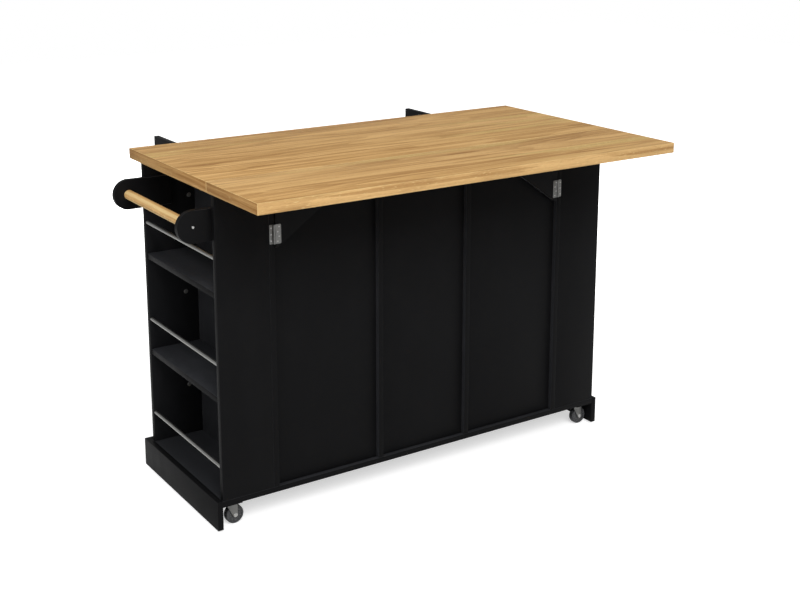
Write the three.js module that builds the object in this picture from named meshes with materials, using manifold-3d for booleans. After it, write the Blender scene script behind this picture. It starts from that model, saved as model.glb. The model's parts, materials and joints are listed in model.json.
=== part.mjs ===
// A kitchen island on casters with a drop leaf.
//
// A long cabinet stands on four swivel casters. Two cupboards with inset doors stand either side of
// a stack of drawers, and each end holds an open rack of three tiers behind a pair of wide stiles.
// One end carries a towel bar. The worktop is in two parts: the fixed top, and a leaf hinged along
// the back that hangs down, or lies level on two wings swung out from the cabinet's back.
//
// Millimetres, +Z up. The doors face -Y, the leaf is on the +Y side, the towel bar is at +X.
// The origin is on the floor, under the middle of the whole island with its doors open.
// Pieces that exist on both ends are named as seen from the front: "right" is the +X end.

import * as THREE from 'three';
import { mergeVertices } from 'three/addons/utils/BufferGeometryUtils.js';
import Module from 'manifold-3d';

const wasm = await Module();
wasm.setup();

// ---------------------------------------------------------------- driving dimensions

// The whole island
const height = 920; //              floor to the top of the worktop
const carcaseLength = 1238; //      over the end stiles
const carcaseDepth = 452; //        over the front and back stiles
const board = 15; //                thickness of the cabinet's boards
const seat = 0.3; //                gap left between two pieces that rest on each other
const reveal = 3; //                gap all round an inset door or drawer front

// Bays
const rackDepth = 147; //           end rack, from the end to its partition
const cupboardWidth = 306; //       clear width behind a door
const panelRecess = 12; //          back panels lie this far inside the back edges
const panelThickness = 9;
const cupboardShelfHeight = 395; // top of the bottom board to the shelf's underside

// Base
const casterHeight = 68; //         floor to the bottom board
const plinthThickness = 16;
const plinthProud = 23; //          the front plinth's face, ahead of the cabinet's front
const plinthGround = 5; //          gap under the plinths
const plinthChamfer = 3;

// Worktop and leaf
const topThickness = 28;
const topOverhangEnd = 21;
const topOverhangFront = 26;
const seamOverhang = 6; //          the seam between top and leaf, behind the cabinet's back
const seamGap = 1;
const leafDepth = 266;
const topEdgeEase = 1.5; //         chamfer on the worktop's edges

// Racks in the ends
const rackTiers = 3;
const rackShelfSetback = 2;
const railRadius = 5;
const railHeight = 87; //           rail's axis above the shelf it guards
const railInset = 6; //             rail's axis inside the end of the cabinet
const railSocket = 6; //            depth of the rail's blind hole in a stile
const railSides = 16;

// Towel bar
const towelReach = 49; //           bar's axis outside the end of the cabinet
const towelBelowTop = 86; //        bar's axis under the worktop
const towelBarRadius = 13;
const towelBarSocket = 5;
const towelEarRadius = 41; //       round end of a bracket
const towelEarThickness = 15;
const towelEarInside = 72; //       length of a bracket inside the end

// Butt hinges: each has two plates, a barrel in three lengths, and a pin
const pinRadius = 1.2;
const pinClearance = 0.3;
const knuckleGap = 0.4;
const barrelSides = 12;
const bond = 0.3; //                a plate that is one with its board is sunk into it by this much

const leafHinge = { length: 64, barrel: 2.7, plate: 1.6, width: 27 };
const leafHinges = { count: 3, fromEnd: 108 };
const leafPinDrop = 2; //           pin's axis under the worktop's underside
const wingHinge = { length: 50, barrel: 2.6, plate: 1.2, width: 16, edgeWidth: 9.8 };
const wingBarrelOverlap = 0.5; //   how far a wing's barrel reaches into its fixed plate
const doorHinge = { length: 60, barrel: 2.8, plate: 1, width: 12.5 };
const doorHingeFromEnd = 110;
const doorPinProud = 3.3; //        pin's axis ahead of a closed door's face
const doorOpen = Math.PI / 2; //    the doors stand open at a right angle

// Wings that carry the leaf
const wingThickness = 12;
const wingLength = 234;
const wingRootHeight = 165;
const wingFoot = 8; //              blunt end at the bottom of the slope
const wingTip = 6; //               blunt end at the top of the slope
const wingPinClear = 4; //          wing's root edge from its pin
const wingSunk = 0.6; //            wing's outer face inside its pin's axis
const wingHingeFoot = 10; //        wing's foot to the low hinge's end
const wingHingeHead = 11; //        wing's top to the high hinge's end
const wingInLine = 1.6; //          wing's pin outside the cupboard's wall

// Drawers
const drawerCount = 3;
const drawerWall = 12;
const drawerBottom = 6;
const drawerBackGap = 25; //        drawer's back to the back panel
const drawerSideGap = 13; //        drawer side to the partition, where the runner lies
const drawerHeadroom = 42; //       drawer side below the top edge of its front
const drawerFootroom = 14; //       drawer bottom above the bottom edge of its front
const runnerWall = 1.5;
const runnerHeight = 18;
const runnerPlay = 0.5;
const runnerAboveBottom = 60;

// Pulls
const pullRadius = 5;
const pullStandoff = 28; //         bar's axis from the face
const pullPostRadius = 4;
const drawerPull = { length: 150, posts: 96 };
const doorPull = { length: 200, posts: 128 };
const doorPullFromEdge = 34;
const doorPullFromTop = 70;

// Casters
const wheelRadius = 25;
const wheelWidth = 19;
const wheelSides = 32;
const wheelHubRadius = 8.5;
const wheelDish = 2.5; //           depth of the dished face between hub and tread
const wheelTread = 5;
const wheelRound = 3.5;
const axleRadius = 3;
const casterFromEnd = 36; //        swivel axis from the end of the cabinet
const casterFromBack = 34;
const casterTrail = 8; //           wheel's axis behind the swivel axis
const casterPad = 4; //             board between the bottom board and a caster's plate
const casterPadLength = 56; //      inwards from the end of the cabinet
const casterPadDepth = 58;
const casterPadInset = 3; //        in from the back face of the bottom board
const casterPlate = 42;
const casterPlateThickness = 2.5;
const casterPlateCorner = 5;
const kingPinRadius = 4;
const kingPinHead = 7;
const kingPinHeadHeight = 1.6;
const raceRadius = 15;
const raceHeight = 2.6;
const forkSheet = 2;
const forkGap = 1.2; //             wheel to fork cheek
const forkHalf = 14; //             half the length of the fork's crown
const forkEyeRadius = 6.5;
const axleProud = 1.5; //           axle's ends outside the cheeks

// ---------------------------------------------------------------- levels and planes

const halfLength = carcaseLength / 2;
const halfDepth = carcaseDepth / 2;
const topUnderside = height - topThickness;
const boardTop = casterHeight + board; //          top face of the bottom board
const boxBottom = boardTop + seat; //              foot of every upright board
const boxTop = topUnderside - seat; //             head of every upright board
const openingHeight = topUnderside - boardTop;
const rackWall = halfLength - rackDepth; //        outer face of an outer partition
const cupboardOuter = rackWall - board; //         clear faces of a cupboard, from the middle
const cupboardInner = cupboardOuter - cupboardWidth;
const drawerBay = cupboardInner - board; //        half the clear width of the drawer bay
const panelBack = halfDepth - panelRecess;
const panelFront = panelBack - panelThickness;
const stileInner = halfDepth - board;
const baseFront = -halfDepth - (plinthProud - plinthThickness);
const plinthFace = -halfDepth - plinthProud;
const topEnd = halfLength + topOverhangEnd;
const topFront = -halfDepth - topOverhangFront;
const seam = halfDepth + seamOverhang;
const leafEdge = seam + leafDepth;
const towelX = halfLength + towelReach;
const towelZ = topUnderside - towelBelowTop;

// Hinge pins
const leafPin = { y: seam, z: topUnderside - leafPinDrop };
const wingPin = {
  x: cupboardOuter + wingInLine,
  y: halfDepth + wingHinge.plate + wingHinge.barrel - wingBarrelOverlap,
};
const doorPin = { x: cupboardOuter - reveal / 2, y: -halfDepth - doorPinProud };

const doorWidth = cupboardWidth - 2 * reveal;
const doorReach = -doorPin.y + reveal / 2 + doorWidth; // an open door's far edge

const drawerLength = panelFront - drawerBackGap + stileInner - seat;
const drawerFrontWidth = 2 * (drawerBay - reveal);
const drawerFrontHeight = (openingHeight - (drawerCount + 1) * reveal) / drawerCount;

// The origin lies under the middle of the island's bounding box.
const middleX = (towelX + towelEarRadius - topEnd) / 2;
const middleY = (leafEdge - doorReach) / 2;

// ---------------------------------------------------------------- materials

function finish(color, roughness, metalness = 0) {
  return new THREE.MeshStandardMaterial({ color, roughness, metalness });
}

const blackBoard = finish(0x1b1b1c, 0.55);
const oakTop = finish(0xc9a06c, 0.5);
const oakBar = finish(0xcfa672, 0.5);
const steel = finish(0xb4b4b2, 0.32, 1);
const zinc = finish(0x9a9a98, 0.38, 1);
const greyTyre = finish(0x55565a, 0.3);

// ---------------------------------------------------------------- solids

// A closed solid from a geometry whose shared corners are merged.
function solid(geometry) {
  const bare = geometry.clone();
  bare.deleteAttribute('normal');
  bare.deleteAttribute('uv');
  const merged = mergeVertices(bare, 1e-4);
  return new wasm.Manifold(new wasm.Mesh({
    numProp: 3,
    vertProperties: new Float32Array(merged.attributes.position.array),
    triVerts: new Uint32Array(merged.index.array),
  }));
}

function geometryOf(body) {
  const mesh = body.getMesh();
  const geometry = new THREE.BufferGeometry();
  geometry.setAttribute('position', new THREE.BufferAttribute(mesh.vertProperties, 3));
  geometry.setIndex(new THREE.BufferAttribute(mesh.triVerts, 1));
  return geometry;
}

function unite(...geometries) {
  return geometryOf(geometries.map(solid).reduce((whole, next) => whole.add(next)));
}

function cut(geometry, ...tools) {
  return geometryOf(tools.map(solid).reduce((whole, tool) => whole.subtract(tool), solid(geometry)));
}

// A box between two values on each axis.
function box([x0, x1], [y0, y1], [z0, z1]) {
  return new THREE.BoxGeometry(x1 - x0, y1 - y0, z1 - z0)
    .translate((x0 + x1) / 2, (y0 + y1) / 2, (z0 + z1) / 2);
}

// A round bar along an axis, centred on a point, with a flat facing +Z.
function bar(radius, length, axis, [x, y, z], sides = barrelSides) {
  const geometry = new THREE.CylinderGeometry(radius, radius, length, sides);
  if (axis === 'x') geometry.rotateZ(Math.PI / 2);
  if (axis === 'z') geometry.rotateX(Math.PI / 2);
  return geometry.translate(x, y, z);
}

// A flat outline in (u, v), as thick as depth, centred on its own plane.
function slab(outline, depth, curveSegments = 12) {
  return new THREE.ExtrudeGeometry(outline, { depth, bevelEnabled: false, curveSegments })
    .translate(0, 0, -depth / 2);
}

// A slab stood up so that its outline lies in the XZ plane.
function standingSlab(outline, depth, curveSegments) {
  return slab(outline, depth, curveSegments).rotateX(Math.PI / 2);
}

function outlineOf(points) {
  return new THREE.Shape(points.map(([u, v]) => new THREE.Vector2(u, v)));
}

// A rectangle with its corners cut off.
function chamferedRectangle([u0, u1], [v0, v1], c) {
  return outlineOf([
    [u0 + c, v0], [u1 - c, v0], [u1, v0 + c], [u1, v1 - c],
    [u1 - c, v1], [u0 + c, v1], [u0, v1 - c], [u0, v0 + c],
  ]);
}

// The span of a piece that lies between a and b from the middle, on side +1 or -1.
function span(side, a, b) {
  return side > 0 ? [a, b] : [-b, -a];
}

const island = new THREE.Group();
island.position.set(-middleX, -middleY, 0);

function place(parent, name, geometry, material) {
  const mesh = new THREE.Mesh(geometry, material);
  mesh.name = name;
  parent.add(mesh);
  return mesh;
}

const ends = [['left', -1], ['right', 1]];

// ---------------------------------------------------------------- cabinet boards

// A pad under each corner carries a caster's plate, and both are one with the board here.
function bottomBoard() {
  const plate = box([-halfLength, halfLength], [baseFront, halfDepth], [casterHeight, boardTop]);
  const far = halfDepth - casterPadInset;
  const pads = ends.flatMap(([, side]) => [-1, 1].map((face) => box(
    span(side, halfLength - casterPadLength, halfLength),
    span(face, far - casterPadDepth, far),
    [casterHeight - casterPad, casterHeight + bond],
  )));
  const mounts = casterPlaces().map(({ x, y }) => casterMount(x, y));
  place(island, 'bottom_board', unite(plate, ...pads, ...mounts), blackBoard);
}

// An outer partition carries the fixed halves of a door's and a wing's hinges, and an inner one
// the runners of the drawers.
function partitions() {
  const depth = [-halfDepth, halfDepth];
  const upright = [boxBottom, boxTop];
  for (const [end, side] of ends) {
    const outer = box(span(side, cupboardOuter, rackWall), depth, upright);
    const inner = box(span(side, drawerBay, cupboardInner), depth, upright);
    const hinges = [...doorHingesFixed(side), ...wingHingesFixed(side)];
    const runners = drawerFloors().map((floor) => runner(side, floor + drawerFootroom));
    place(island, `outer_partition_${end}`, unite(outer, ...hinges), blackBoard);
    place(island, `inner_partition_${end}`, unite(inner, ...runners), blackBoard);
  }
}

// The top of the board that each tier of a rack stands on, counted from the bottom.
function tierFloor(tier) {
  const clear = (openingHeight - (rackTiers - 1) * board) / rackTiers;
  return boardTop + tier * (clear + board);
}

// A wide upright board on an end's corner, with a blind hole for the end of each rail.
function stile(side, face) {
  const plate = box(
    span(side, rackWall + seat, halfLength),
    span(face, stileInner, halfDepth),
    [boxBottom, boxTop],
  );
  const sockets = [];
  for (let tier = 0; tier < rackTiers; tier += 1) {
    const centre = [
      side * (halfLength - railInset),
      face * (stileInner + railSocket / 2),
      tierFloor(tier) + railHeight,
    ];
    sockets.push(bar(railRadius + seat, railSocket, 'y', centre, railSides));
  }
  return cut(plate, ...sockets);
}

function stiles() {
  for (const [end, side] of ends) {
    place(island, `back_stile_${end}`, stile(side, 1), blackBoard);
    place(island, `front_stile_${end}`, stile(side, -1), blackBoard);
  }
}

function backPanels() {
  const depth = [panelFront, panelBack];
  const upright = [boxBottom, boxTop];
  const middle = drawerBay - seat;
  place(island, 'back_panel_center', box([-middle, middle], depth, upright), blackBoard);
  for (const [end, side] of ends) {
    const width = span(side, cupboardInner + seat, cupboardOuter - seat);
    place(island, `back_panel_${end}`, box(width, depth, upright), blackBoard);
  }
}

// ---------------------------------------------------------------- end racks

function racks() {
  const depth = [-(stileInner - seat), stileInner - seat];
  const shelfNames = ['lower', 'upper'];
  for (const [end, side] of ends) {
    for (let tier = 1; tier < rackTiers; tier += 1) {
      const top = tierFloor(tier);
      const width = span(side, rackWall + seat, halfLength - rackShelfSetback);
      const name = `rack_shelf_${end}_${shelfNames[tier - 1] ?? tier}`;
      place(island, name, box(width, depth, [top - board, top]), blackBoard);
    }
    for (let tier = 0; tier < rackTiers; tier += 1) {
      place(island, `rack_rail_${end}_${tier + 1}`, rackRail(side, tier), steel);
    }
  }
}

// A rail across a tier, its ends held in the stiles.
function rackRail(side, tier) {
  const length = 2 * (stileInner + railSocket - seat);
  const centre = [side * (halfLength - railInset), 0, tierFloor(tier) + railHeight];
  return bar(railRadius, length, 'y', centre, railSides);
}

// ---------------------------------------------------------------- cupboards

function cupboardShelves() {
  const bottom = boardTop + cupboardShelfHeight;
  const depth = [-stileInner + reveal, panelFront - seat];
  for (const [end, side] of ends) {
    const width = span(side, cupboardInner + seat, cupboardOuter - seat);
    place(island, `cupboard_shelf_${end}`, box(width, depth, [bottom, bottom + board]), blackBoard);
  }
}

// ---------------------------------------------------------------- plinths

// A plinth runs along one end, outside the bottom board, to the face of the front plinth.
function plinths() {
  const rise = [plinthGround, boardTop];
  for (const [end, side] of ends) {
    const [x0, x1] = span(side, halfLength + seat, halfLength + plinthThickness);
    const c = plinthChamfer;
    const top = side > 0
      ? [[x1, rise[1] - c], [x1 - c, rise[1]], [x0, rise[1]]]
      : [[x1, rise[1]], [x0 + c, rise[1]], [x0, rise[1] - c]];
    const section = outlineOf([[x0, rise[0]], [x1, rise[0]], ...top]);
    const length = halfDepth - plinthFace;
    const geometry = standingSlab(section, length).translate(0, (halfDepth + plinthFace) / 2, 0);
    place(island, `plinth_${end}`, geometry, blackBoard);
  }
  const front = box([-halfLength, halfLength], [plinthFace, baseFront - seat], rise);
  place(island, 'plinth_front', front, blackBoard);
}

// ---------------------------------------------------------------- hinges

// One half of a hinge. The pin runs along z through the origin. The plate runs along +x, between
// two values of y, and joins its own lengths of the barrel, given as [low, high] pairs.
function hingeHalf({ length, barrel, width }, thickness, lengths) {
  const clear = barrel + seat;
  const pieces = [box([clear, clear + width], thickness, [-length / 2, length / 2])];
  for (const [low, high] of lengths) {
    pieces.push(box([0, clear + 1], thickness, [low, high]));
    pieces.push(bar(barrel, high - low, 'z', [0, 0, (low + high) / 2]));
  }
  return unite(...pieces);
}

// The fixed half has both ends of the barrel, and the pin.
function fixedHalf(hinge, thickness) {
  const middle = hinge.length / 6 + knuckleGap / 2;
  const ends = [[-hinge.length / 2, -middle], [middle, hinge.length / 2]];
  const pin = bar(pinRadius, hinge.length, 'z', [0, 0, 0]);
  return unite(hingeHalf(hinge, thickness, ends), pin);
}

// The half that turns has the middle of the barrel, bored for the pin.
function movingHalf(hinge, thickness) {
  const middle = hinge.length / 6 - knuckleGap / 2;
  const bore = bar(pinRadius + pinClearance, hinge.length, 'z', [0, 0, 0]);
  return cut(hingeHalf(hinge, thickness, [[-middle, middle]]), bore);
}

// Turns a hinge half so that its plate points along one direction and its thickness along another,
// with its pin through a point.
function hung(geometry, along, across, [x, y, z]) {
  const plateAxis = new THREE.Vector3(...along);
  const acrossAxis = new THREE.Vector3(...across);
  const pinAxis = plateAxis.clone().cross(acrossAxis);
  const turn = new THREE.Matrix4().makeBasis(plateAxis, acrossAxis, pinAxis);
  return geometry.applyMatrix4(turn).translate(x, y, z);
}

// ---------------------------------------------------------------- worktop and leaf

// A board of the worktop, its long edges eased.
function topBoard([y0, y1]) {
  const section = chamferedRectangle([y0, y1], [topUnderside, height], topEdgeEase);
  const alongX = new THREE.Matrix4().makeBasis(
    new THREE.Vector3(0, 1, 0),
    new THREE.Vector3(0, 0, 1),
    new THREE.Vector3(1, 0, 0),
  );
  return slab(section, 2 * topEnd).applyMatrix4(alongX);
}

function leafHingePlaces() {
  const first = -(topEnd - leafHinges.fromEnd);
  const pitch = -2 * first / (leafHinges.count - 1);
  return Array.from({ length: leafHinges.count }, (_, i) => first + i * pitch);
}

// Space cut into a board's underside over each of the leaf's hinges.
function hingeRecesses([y0, y1], top) {
  const half = leafHinge.length / 2 + seat;
  return leafHingePlaces().map((x) => box([x - half, x + half], [y0, y1], [topUnderside - 1, top]));
}

// The plates that turn lie in mortises in the leaf. The fixed plates are let into the fixed top and
// are one with it, and a groove in it clears the barrels that turn.
function worktop() {
  const { barrel, plate, width } = leafHinge;
  const reach = barrel + width + 2 * seat;
  const grooves = hingeRecesses([seam - barrel - seat, seam], leafPin.z + barrel + seat);
  const mortises = hingeRecesses([seam, seam + reach], topUnderside + plate + 2 * seat);
  const fixedTop = cut(topBoard([topFront, seam - seamGap / 2]), ...grooves);
  const leaf = cut(topBoard([seam + seamGap / 2, leafEdge]), ...mortises);

  const up = [0, 0, 1];
  const letIn = [leafPinDrop - bond, leafPinDrop + plate];
  const inMortise = [leafPinDrop + seat, leafPinDrop + seat + plate];
  const fixed = [];
  leafHingePlaces().forEach((x, i) => {
    const at = [x, leafPin.y, leafPin.z];
    const turning = hung(movingHalf(leafHinge, inMortise), [0, 1, 0], up, at);
    fixed.push(hung(fixedHalf(leafHinge, letIn), [0, -1, 0], up, at));
    place(island, `leaf_hinge_${i + 1}`, turning, steel);
  });
  place(island, 'worktop', unite(fixedTop, ...fixed), oakTop);
  place(island, 'drop_leaf', leaf, oakTop);
}

// ---------------------------------------------------------------- wings

// A wing is drawn folded flat into the recess of the back: its root at its pin, its tip towards
// the middle. Swung out, its outer face is in line with the cupboard's wall and its top edge
// carries the leaf.
function wingBoard(side) {
  const foot = boxTop - wingRootHeight;
  const root = -side * wingPinClear;
  const tip = root - side * wingLength;
  const outline = outlineOf([
    [root, boxTop],
    [tip, boxTop],
    [tip, boxTop - wingTip],
    [root - side * wingFoot, foot],
    [root, foot],
  ]);
  return standingSlab(outline, wingThickness)
    .translate(side * wingPin.x, wingPin.y - wingSunk - wingThickness / 2, 0);
}

// The middles of the two hinges on a wing's root edge.
function wingHingeLevels() {
  const foot = boxTop - wingRootHeight;
  return [
    foot + wingHingeFoot + wingHinge.length / 2,
    boxTop - wingHingeHead - wingHinge.length / 2,
  ];
}

// Plates on the partition's back edge.
function wingHingesFixed(side) {
  const hinge = { ...wingHinge, width: wingHinge.edgeWidth };
  const wood = halfDepth - wingPin.y;
  const thickness = [wood - bond, wood + wingHinge.plate];
  return wingHingeLevels().map((z) => (
    hung(fixedHalf(hinge, thickness), [side, 0, 0], [0, 1, 0], [side * wingPin.x, wingPin.y, z])
  ));
}

// Plates on the wing's outer face.
function wingHingesMoving(side) {
  const thickness = [-wingSunk - bond, -wingSunk + wingHinge.plate];
  return wingHingeLevels().map((z) => (
    hung(movingHalf(wingHinge, thickness), [-side, 0, 0], [0, 1, 0], [side * wingPin.x, wingPin.y, z])
  ));
}

// Plates on the wing's inner face, which the hinges' screws pull against.
function wingBackingPlates(side) {
  const near = wingHinge.barrel + seat + wingPinClear;
  const face = wingPin.y - wingSunk - wingThickness;
  return wingHingeLevels().map((z) => box(
    span(side, wingPin.x - near - wingHinge.width, wingPin.x - near),
    [face - wingHinge.plate, face + bond],
    [z - wingHinge.length / 2, z + wingHinge.length / 2],
  ));
}

function wings() {
  for (const [end, side] of ends) {
    const hinges = [...wingHingesMoving(side), ...wingBackingPlates(side)];
    place(island, `wing_${end}`, unite(wingBoard(side), ...hinges), blackBoard);
  }
}

// ---------------------------------------------------------------- pulls

// A round bar on two posts. The bar runs along x and the posts along y, onto a face at y = 0.
function pull({ length, posts }) {
  const reach = pullStandoff - seat;
  const feet = [-posts / 2, posts / 2].map((x) => (
    bar(pullPostRadius, reach, 'y', [x, -seat - reach / 2, 0])
  ));
  return unite(bar(pullRadius, length, 'x', [0, -pullStandoff, 0]), ...feet);
}

// ---------------------------------------------------------------- doors

function doorHingeLevels() {
  return [
    boardTop + reveal + doorHingeFromEnd,
    topUnderside - reveal - doorHingeFromEnd,
  ];
}

// A shut door's hinge plates lie face to face in the gap beside it: thickness is counted from the
// pin towards the wood, which is half the gap away.
const doorHingePlate = [reveal / 2 - seat - doorHinge.plate, reveal / 2 + bond];

function doorHingesFixed(side) {
  return doorHingeLevels().map((z) => (
    hung(
      fixedHalf(doorHinge, doorHingePlate),
      [0, 1, 0],
      [side, 0, 0],
      [side * doorPin.x, doorPin.y, z],
    )
  ));
}

// A door board is drawn shut, seen from its hinge pin.
function door(side) {
  const edge = reveal / 2;
  const plate = box(
    span(-side, edge, edge + doorWidth),
    [doorPinProud, doorPinProud + board],
    [boardTop + reveal, topUnderside - reveal],
  );
  const hinges = doorHingeLevels().map((z) => (
    hung(movingHalf(doorHinge, doorHingePlate), [0, 1, 0], [-side, 0, 0], [0, 0, z])
  ));
  return unite(plate, ...hinges);
}

function doorGrip(side) {
  const far = reveal / 2 + doorWidth;
  return pull(doorPull).rotateY(Math.PI / 2).translate(
    -side * (far - doorPullFromEdge),
    doorPinProud,
    topUnderside - reveal - doorPullFromTop - doorPull.length / 2,
  );
}

// Each door and its pull stand open in a group on the hinge pin.
function doors() {
  for (const [end, side] of ends) {
    const group = new THREE.Group();
    group.position.set(side * doorPin.x, doorPin.y, 0);
    group.rotation.z = side * doorOpen;
    island.add(group);
    place(group, `door_${end}`, door(side), blackBoard);
    place(group, `door_pull_${end}`, doorGrip(side), steel);
  }
}

// ---------------------------------------------------------------- drawers

// The bottom edge of each drawer front.
function drawerFloors() {
  return Array.from({ length: drawerCount }, (_, i) => (
    boardTop + reveal + i * (drawerFrontHeight + reveal)
  ));
}

// An open box, with a strip along each side that slides in its runner.
function drawerBox(bottom) {
  const half = drawerBay - drawerSideGap;
  const y0 = -stileInner + seat;
  const y1 = y0 + drawerLength;
  const top = bottom + drawerFrontHeight - drawerFootroom - drawerHeadroom;
  const shell = box([-half, half], [y0, y1], [bottom, top]);
  const hollow = box(
    [-half + drawerWall, half - drawerWall],
    [y0 + drawerWall, y1 - drawerWall],
    [bottom + drawerBottom, top + 1],
  );
  const [low, high] = runnerSlot(bottom);
  const reach = drawerBay - runnerWall - runnerPlay;
  const strip = [low + runnerPlay, high - runnerPlay];
  const strips = [box([-reach, -half + 1], [y0, y1], strip), box([half - 1, reach], [y0, y1], strip)];
  return unite(cut(shell, hollow), ...strips);
}

// The clear height inside a runner.
function runnerSlot(bottom) {
  const low = bottom + runnerAboveBottom;
  return [low, low + runnerHeight - 2 * runnerWall];
}

// A channel on the partition, open towards the drawer.
function runner(side, bottom) {
  const [low, high] = runnerSlot(bottom);
  const mouth = drawerBay - drawerSideGap + runnerPlay;
  const y0 = -stileInner + seat;
  const channel = box(
    span(side, mouth, drawerBay + bond),
    [y0, y0 + drawerLength],
    [low - runnerWall, high + runnerWall],
  );
  const slot = box(
    span(side, mouth - 1, drawerBay - runnerWall),
    [y0 - 1, y0 + drawerLength + 1],
    [low, high],
  );
  return cut(channel, slot);
}

function drawers() {
  drawerFloors().forEach((floor, i) => {
    const front = box(
      [-drawerFrontWidth / 2, drawerFrontWidth / 2],
      [-halfDepth, -stileInner],
      [floor, floor + drawerFrontHeight],
    );
    const grip = pull(drawerPull).translate(0, -halfDepth, floor + drawerFrontHeight / 2);
    place(island, `drawer_front_${i + 1}`, front, blackBoard);
    place(island, `drawer_box_${i + 1}`, drawerBox(floor + drawerFootroom), blackBoard);
    place(island, `drawer_pull_${i + 1}`, grip, steel);
  });
}

// ---------------------------------------------------------------- towel bar

// A bracket has a round end outside the cabinet and a square end inside the rack.
function towelEar() {
  const outline = new THREE.Shape();
  outline.moveTo(halfLength - towelEarInside, -towelEarRadius);
  outline.lineTo(towelX, -towelEarRadius);
  outline.absarc(towelX, 0, towelEarRadius, -Math.PI / 2, Math.PI / 2, false);
  outline.lineTo(halfLength - towelEarInside, towelEarRadius);
  outline.closePath();
  return standingSlab(outline, towelEarThickness, 24).translate(0, 0, towelZ);
}

function towelRack() {
  const middle = stileInner - seat - towelEarThickness / 2;
  const inside = stileInner - seat - towelEarThickness;
  const length = 2 * (inside + towelBarSocket);
  for (const [name, face] of [['back', 1], ['front', -1]]) {
    const ear = towelEar().translate(0, face * middle, 0);
    const depth = towelBarSocket + seat;
    const centre = [towelX, face * (inside + depth / 2), towelZ];
    const socket = bar(towelBarRadius + seat, depth, 'y', centre, 24);
    place(island, `towel_bracket_${name}`, cut(ear, socket), blackBoard);
  }
  place(island, 'towel_bar', bar(towelBarRadius, length, 'y', [towelX, 0, towelZ], 24), oakBar);
}

// ---------------------------------------------------------------- casters

// Levels inside a caster, from the top down.
const casterLevels = (() => {
  const plateBottom = casterHeight - casterPad - casterPlateThickness;
  const raceBottom = plateBottom - raceHeight;
  const forkTop = raceBottom - seat;
  const forkUnderside = forkTop - forkSheet;
  const headTop = forkUnderside - seat;
  return { plateBottom, raceBottom, forkTop, forkUnderside, headTop };
})();

// The fixed part: a plate under its pad, the bearing's race, and the rivet it turns on.
function casterMount(x, y) {
  const { plateBottom, raceBottom, headTop } = casterLevels;
  const half = casterPlate / 2;
  const outline = chamferedRectangle([-half, half], [-half, half], casterPlateCorner);
  const plate = slab(outline, casterPlateThickness + bond)
    .translate(0, 0, plateBottom + (casterPlateThickness + bond) / 2);
  const race = bar(raceRadius, raceHeight + 1, 'z', [0, 0, (raceBottom + plateBottom + 1) / 2], 24);
  const headBottom = headTop - kingPinHeadHeight;
  const pin = bar(kingPinRadius, plateBottom - headBottom, 'z', [0, 0, (plateBottom + headBottom) / 2]);
  const head = bar(kingPinHead, kingPinHeadHeight, 'z', [0, 0, (headTop + headBottom) / 2], 16);
  return unite(plate, race, pin, head).translate(x, y, 0);
}

// The swivelling part: a bent sheet with two cheeks that narrow to the axle's eye, and the axle.
function casterFork() {
  const { forkTop, forkUnderside } = casterLevels;
  const cheek = wheelWidth / 2 + forkGap;
  const outside = cheek + forkSheet;
  const crown = box([-forkHalf, forkHalf], [-outside, outside], [forkUnderside, forkTop]);
  const outline = new THREE.Shape();
  outline.moveTo(forkHalf, forkTop);
  outline.lineTo(-casterTrail + forkEyeRadius, wheelRadius);
  outline.absarc(-casterTrail, wheelRadius, forkEyeRadius, 0, -Math.PI, true);
  outline.lineTo(-forkHalf, forkTop);
  outline.closePath();
  const cheeks = [-1, 1].map((face) => (
    standingSlab(outline, forkSheet, 8).translate(0, face * (cheek + forkSheet / 2), 0)
  ));
  const axle = bar(axleRadius, 2 * (outside + axleProud), 'y', [-casterTrail, 0, wheelRadius]);
  const hole = bar(kingPinRadius + seat, 3 * forkSheet, 'z', [0, 0, forkTop - forkSheet / 2]);
  return cut(unite(crown, ...cheeks, axle), hole);
}

// A wheel with a plain hub, dished faces and a rounded tread, turned about the y axis. One of the
// flats between its facets lies on the floor.
function casterWheel() {
  const half = wheelWidth / 2;
  const flats = 1 / Math.cos(Math.PI / wheelSides);
  const rim = wheelRadius * flats;
  const web = half - wheelDish;
  const side = [
    [axleRadius + seat, half],
    [wheelHubRadius, half],
    [wheelHubRadius + 1, web],
    [wheelRadius - wheelTread - 1, web],
    [wheelRadius - wheelTread, half],
    [rim - wheelRound, half],
    [rim - 0.3 * wheelRound, half - 0.3 * wheelRound],
    [rim, half - wheelRound],
  ];
  const mirrored = side.map(([r, y]) => [r, -y]).reverse();
  const profile = [...side, ...mirrored, side[0]].map(([r, y]) => new THREE.Vector2(r, y));
  const body = solid(new THREE.LatheGeometry(profile.reverse(), wheelSides));
  return geometryOf(body)
    .rotateY(Math.PI / wheelSides)
    .translate(-casterTrail, 0, wheelRadius);
}

// The swivel axis of each caster.
function casterPlaces() {
  const x = halfLength - casterFromEnd;
  const y = halfDepth - casterFromBack;
  return ends.flatMap(([end, side]) => [
    { name: `front_${end}`, x: side * x, y: -y },
    { name: `back_${end}`, x: side * x, y },
  ]);
}

function casters() {
  for (const { name, x, y } of casterPlaces()) {
    const swivel = new THREE.Group();
    swivel.position.set(x, y, 0);
    island.add(swivel);
    place(swivel, `caster_fork_${name}`, casterFork(), zinc);
    place(swivel, `caster_wheel_${name}`, casterWheel(), greyTyre);
  }
}

// ---------------------------------------------------------------- the island

bottomBoard();
partitions();
stiles();
backPanels();
racks();
cupboardShelves();
plinths();
worktop();
wings();
doors();
drawers();
towelRack();
casters();

export default island;
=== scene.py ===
"""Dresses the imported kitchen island: eased boards, an oak worktop, hinges, pulls and casters."""

import json
import math

import bmesh
import bpy
from bpy.props import FloatProperty, FloatVectorProperty, IntProperty, PointerProperty
from mathutils import Matrix, Vector

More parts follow.
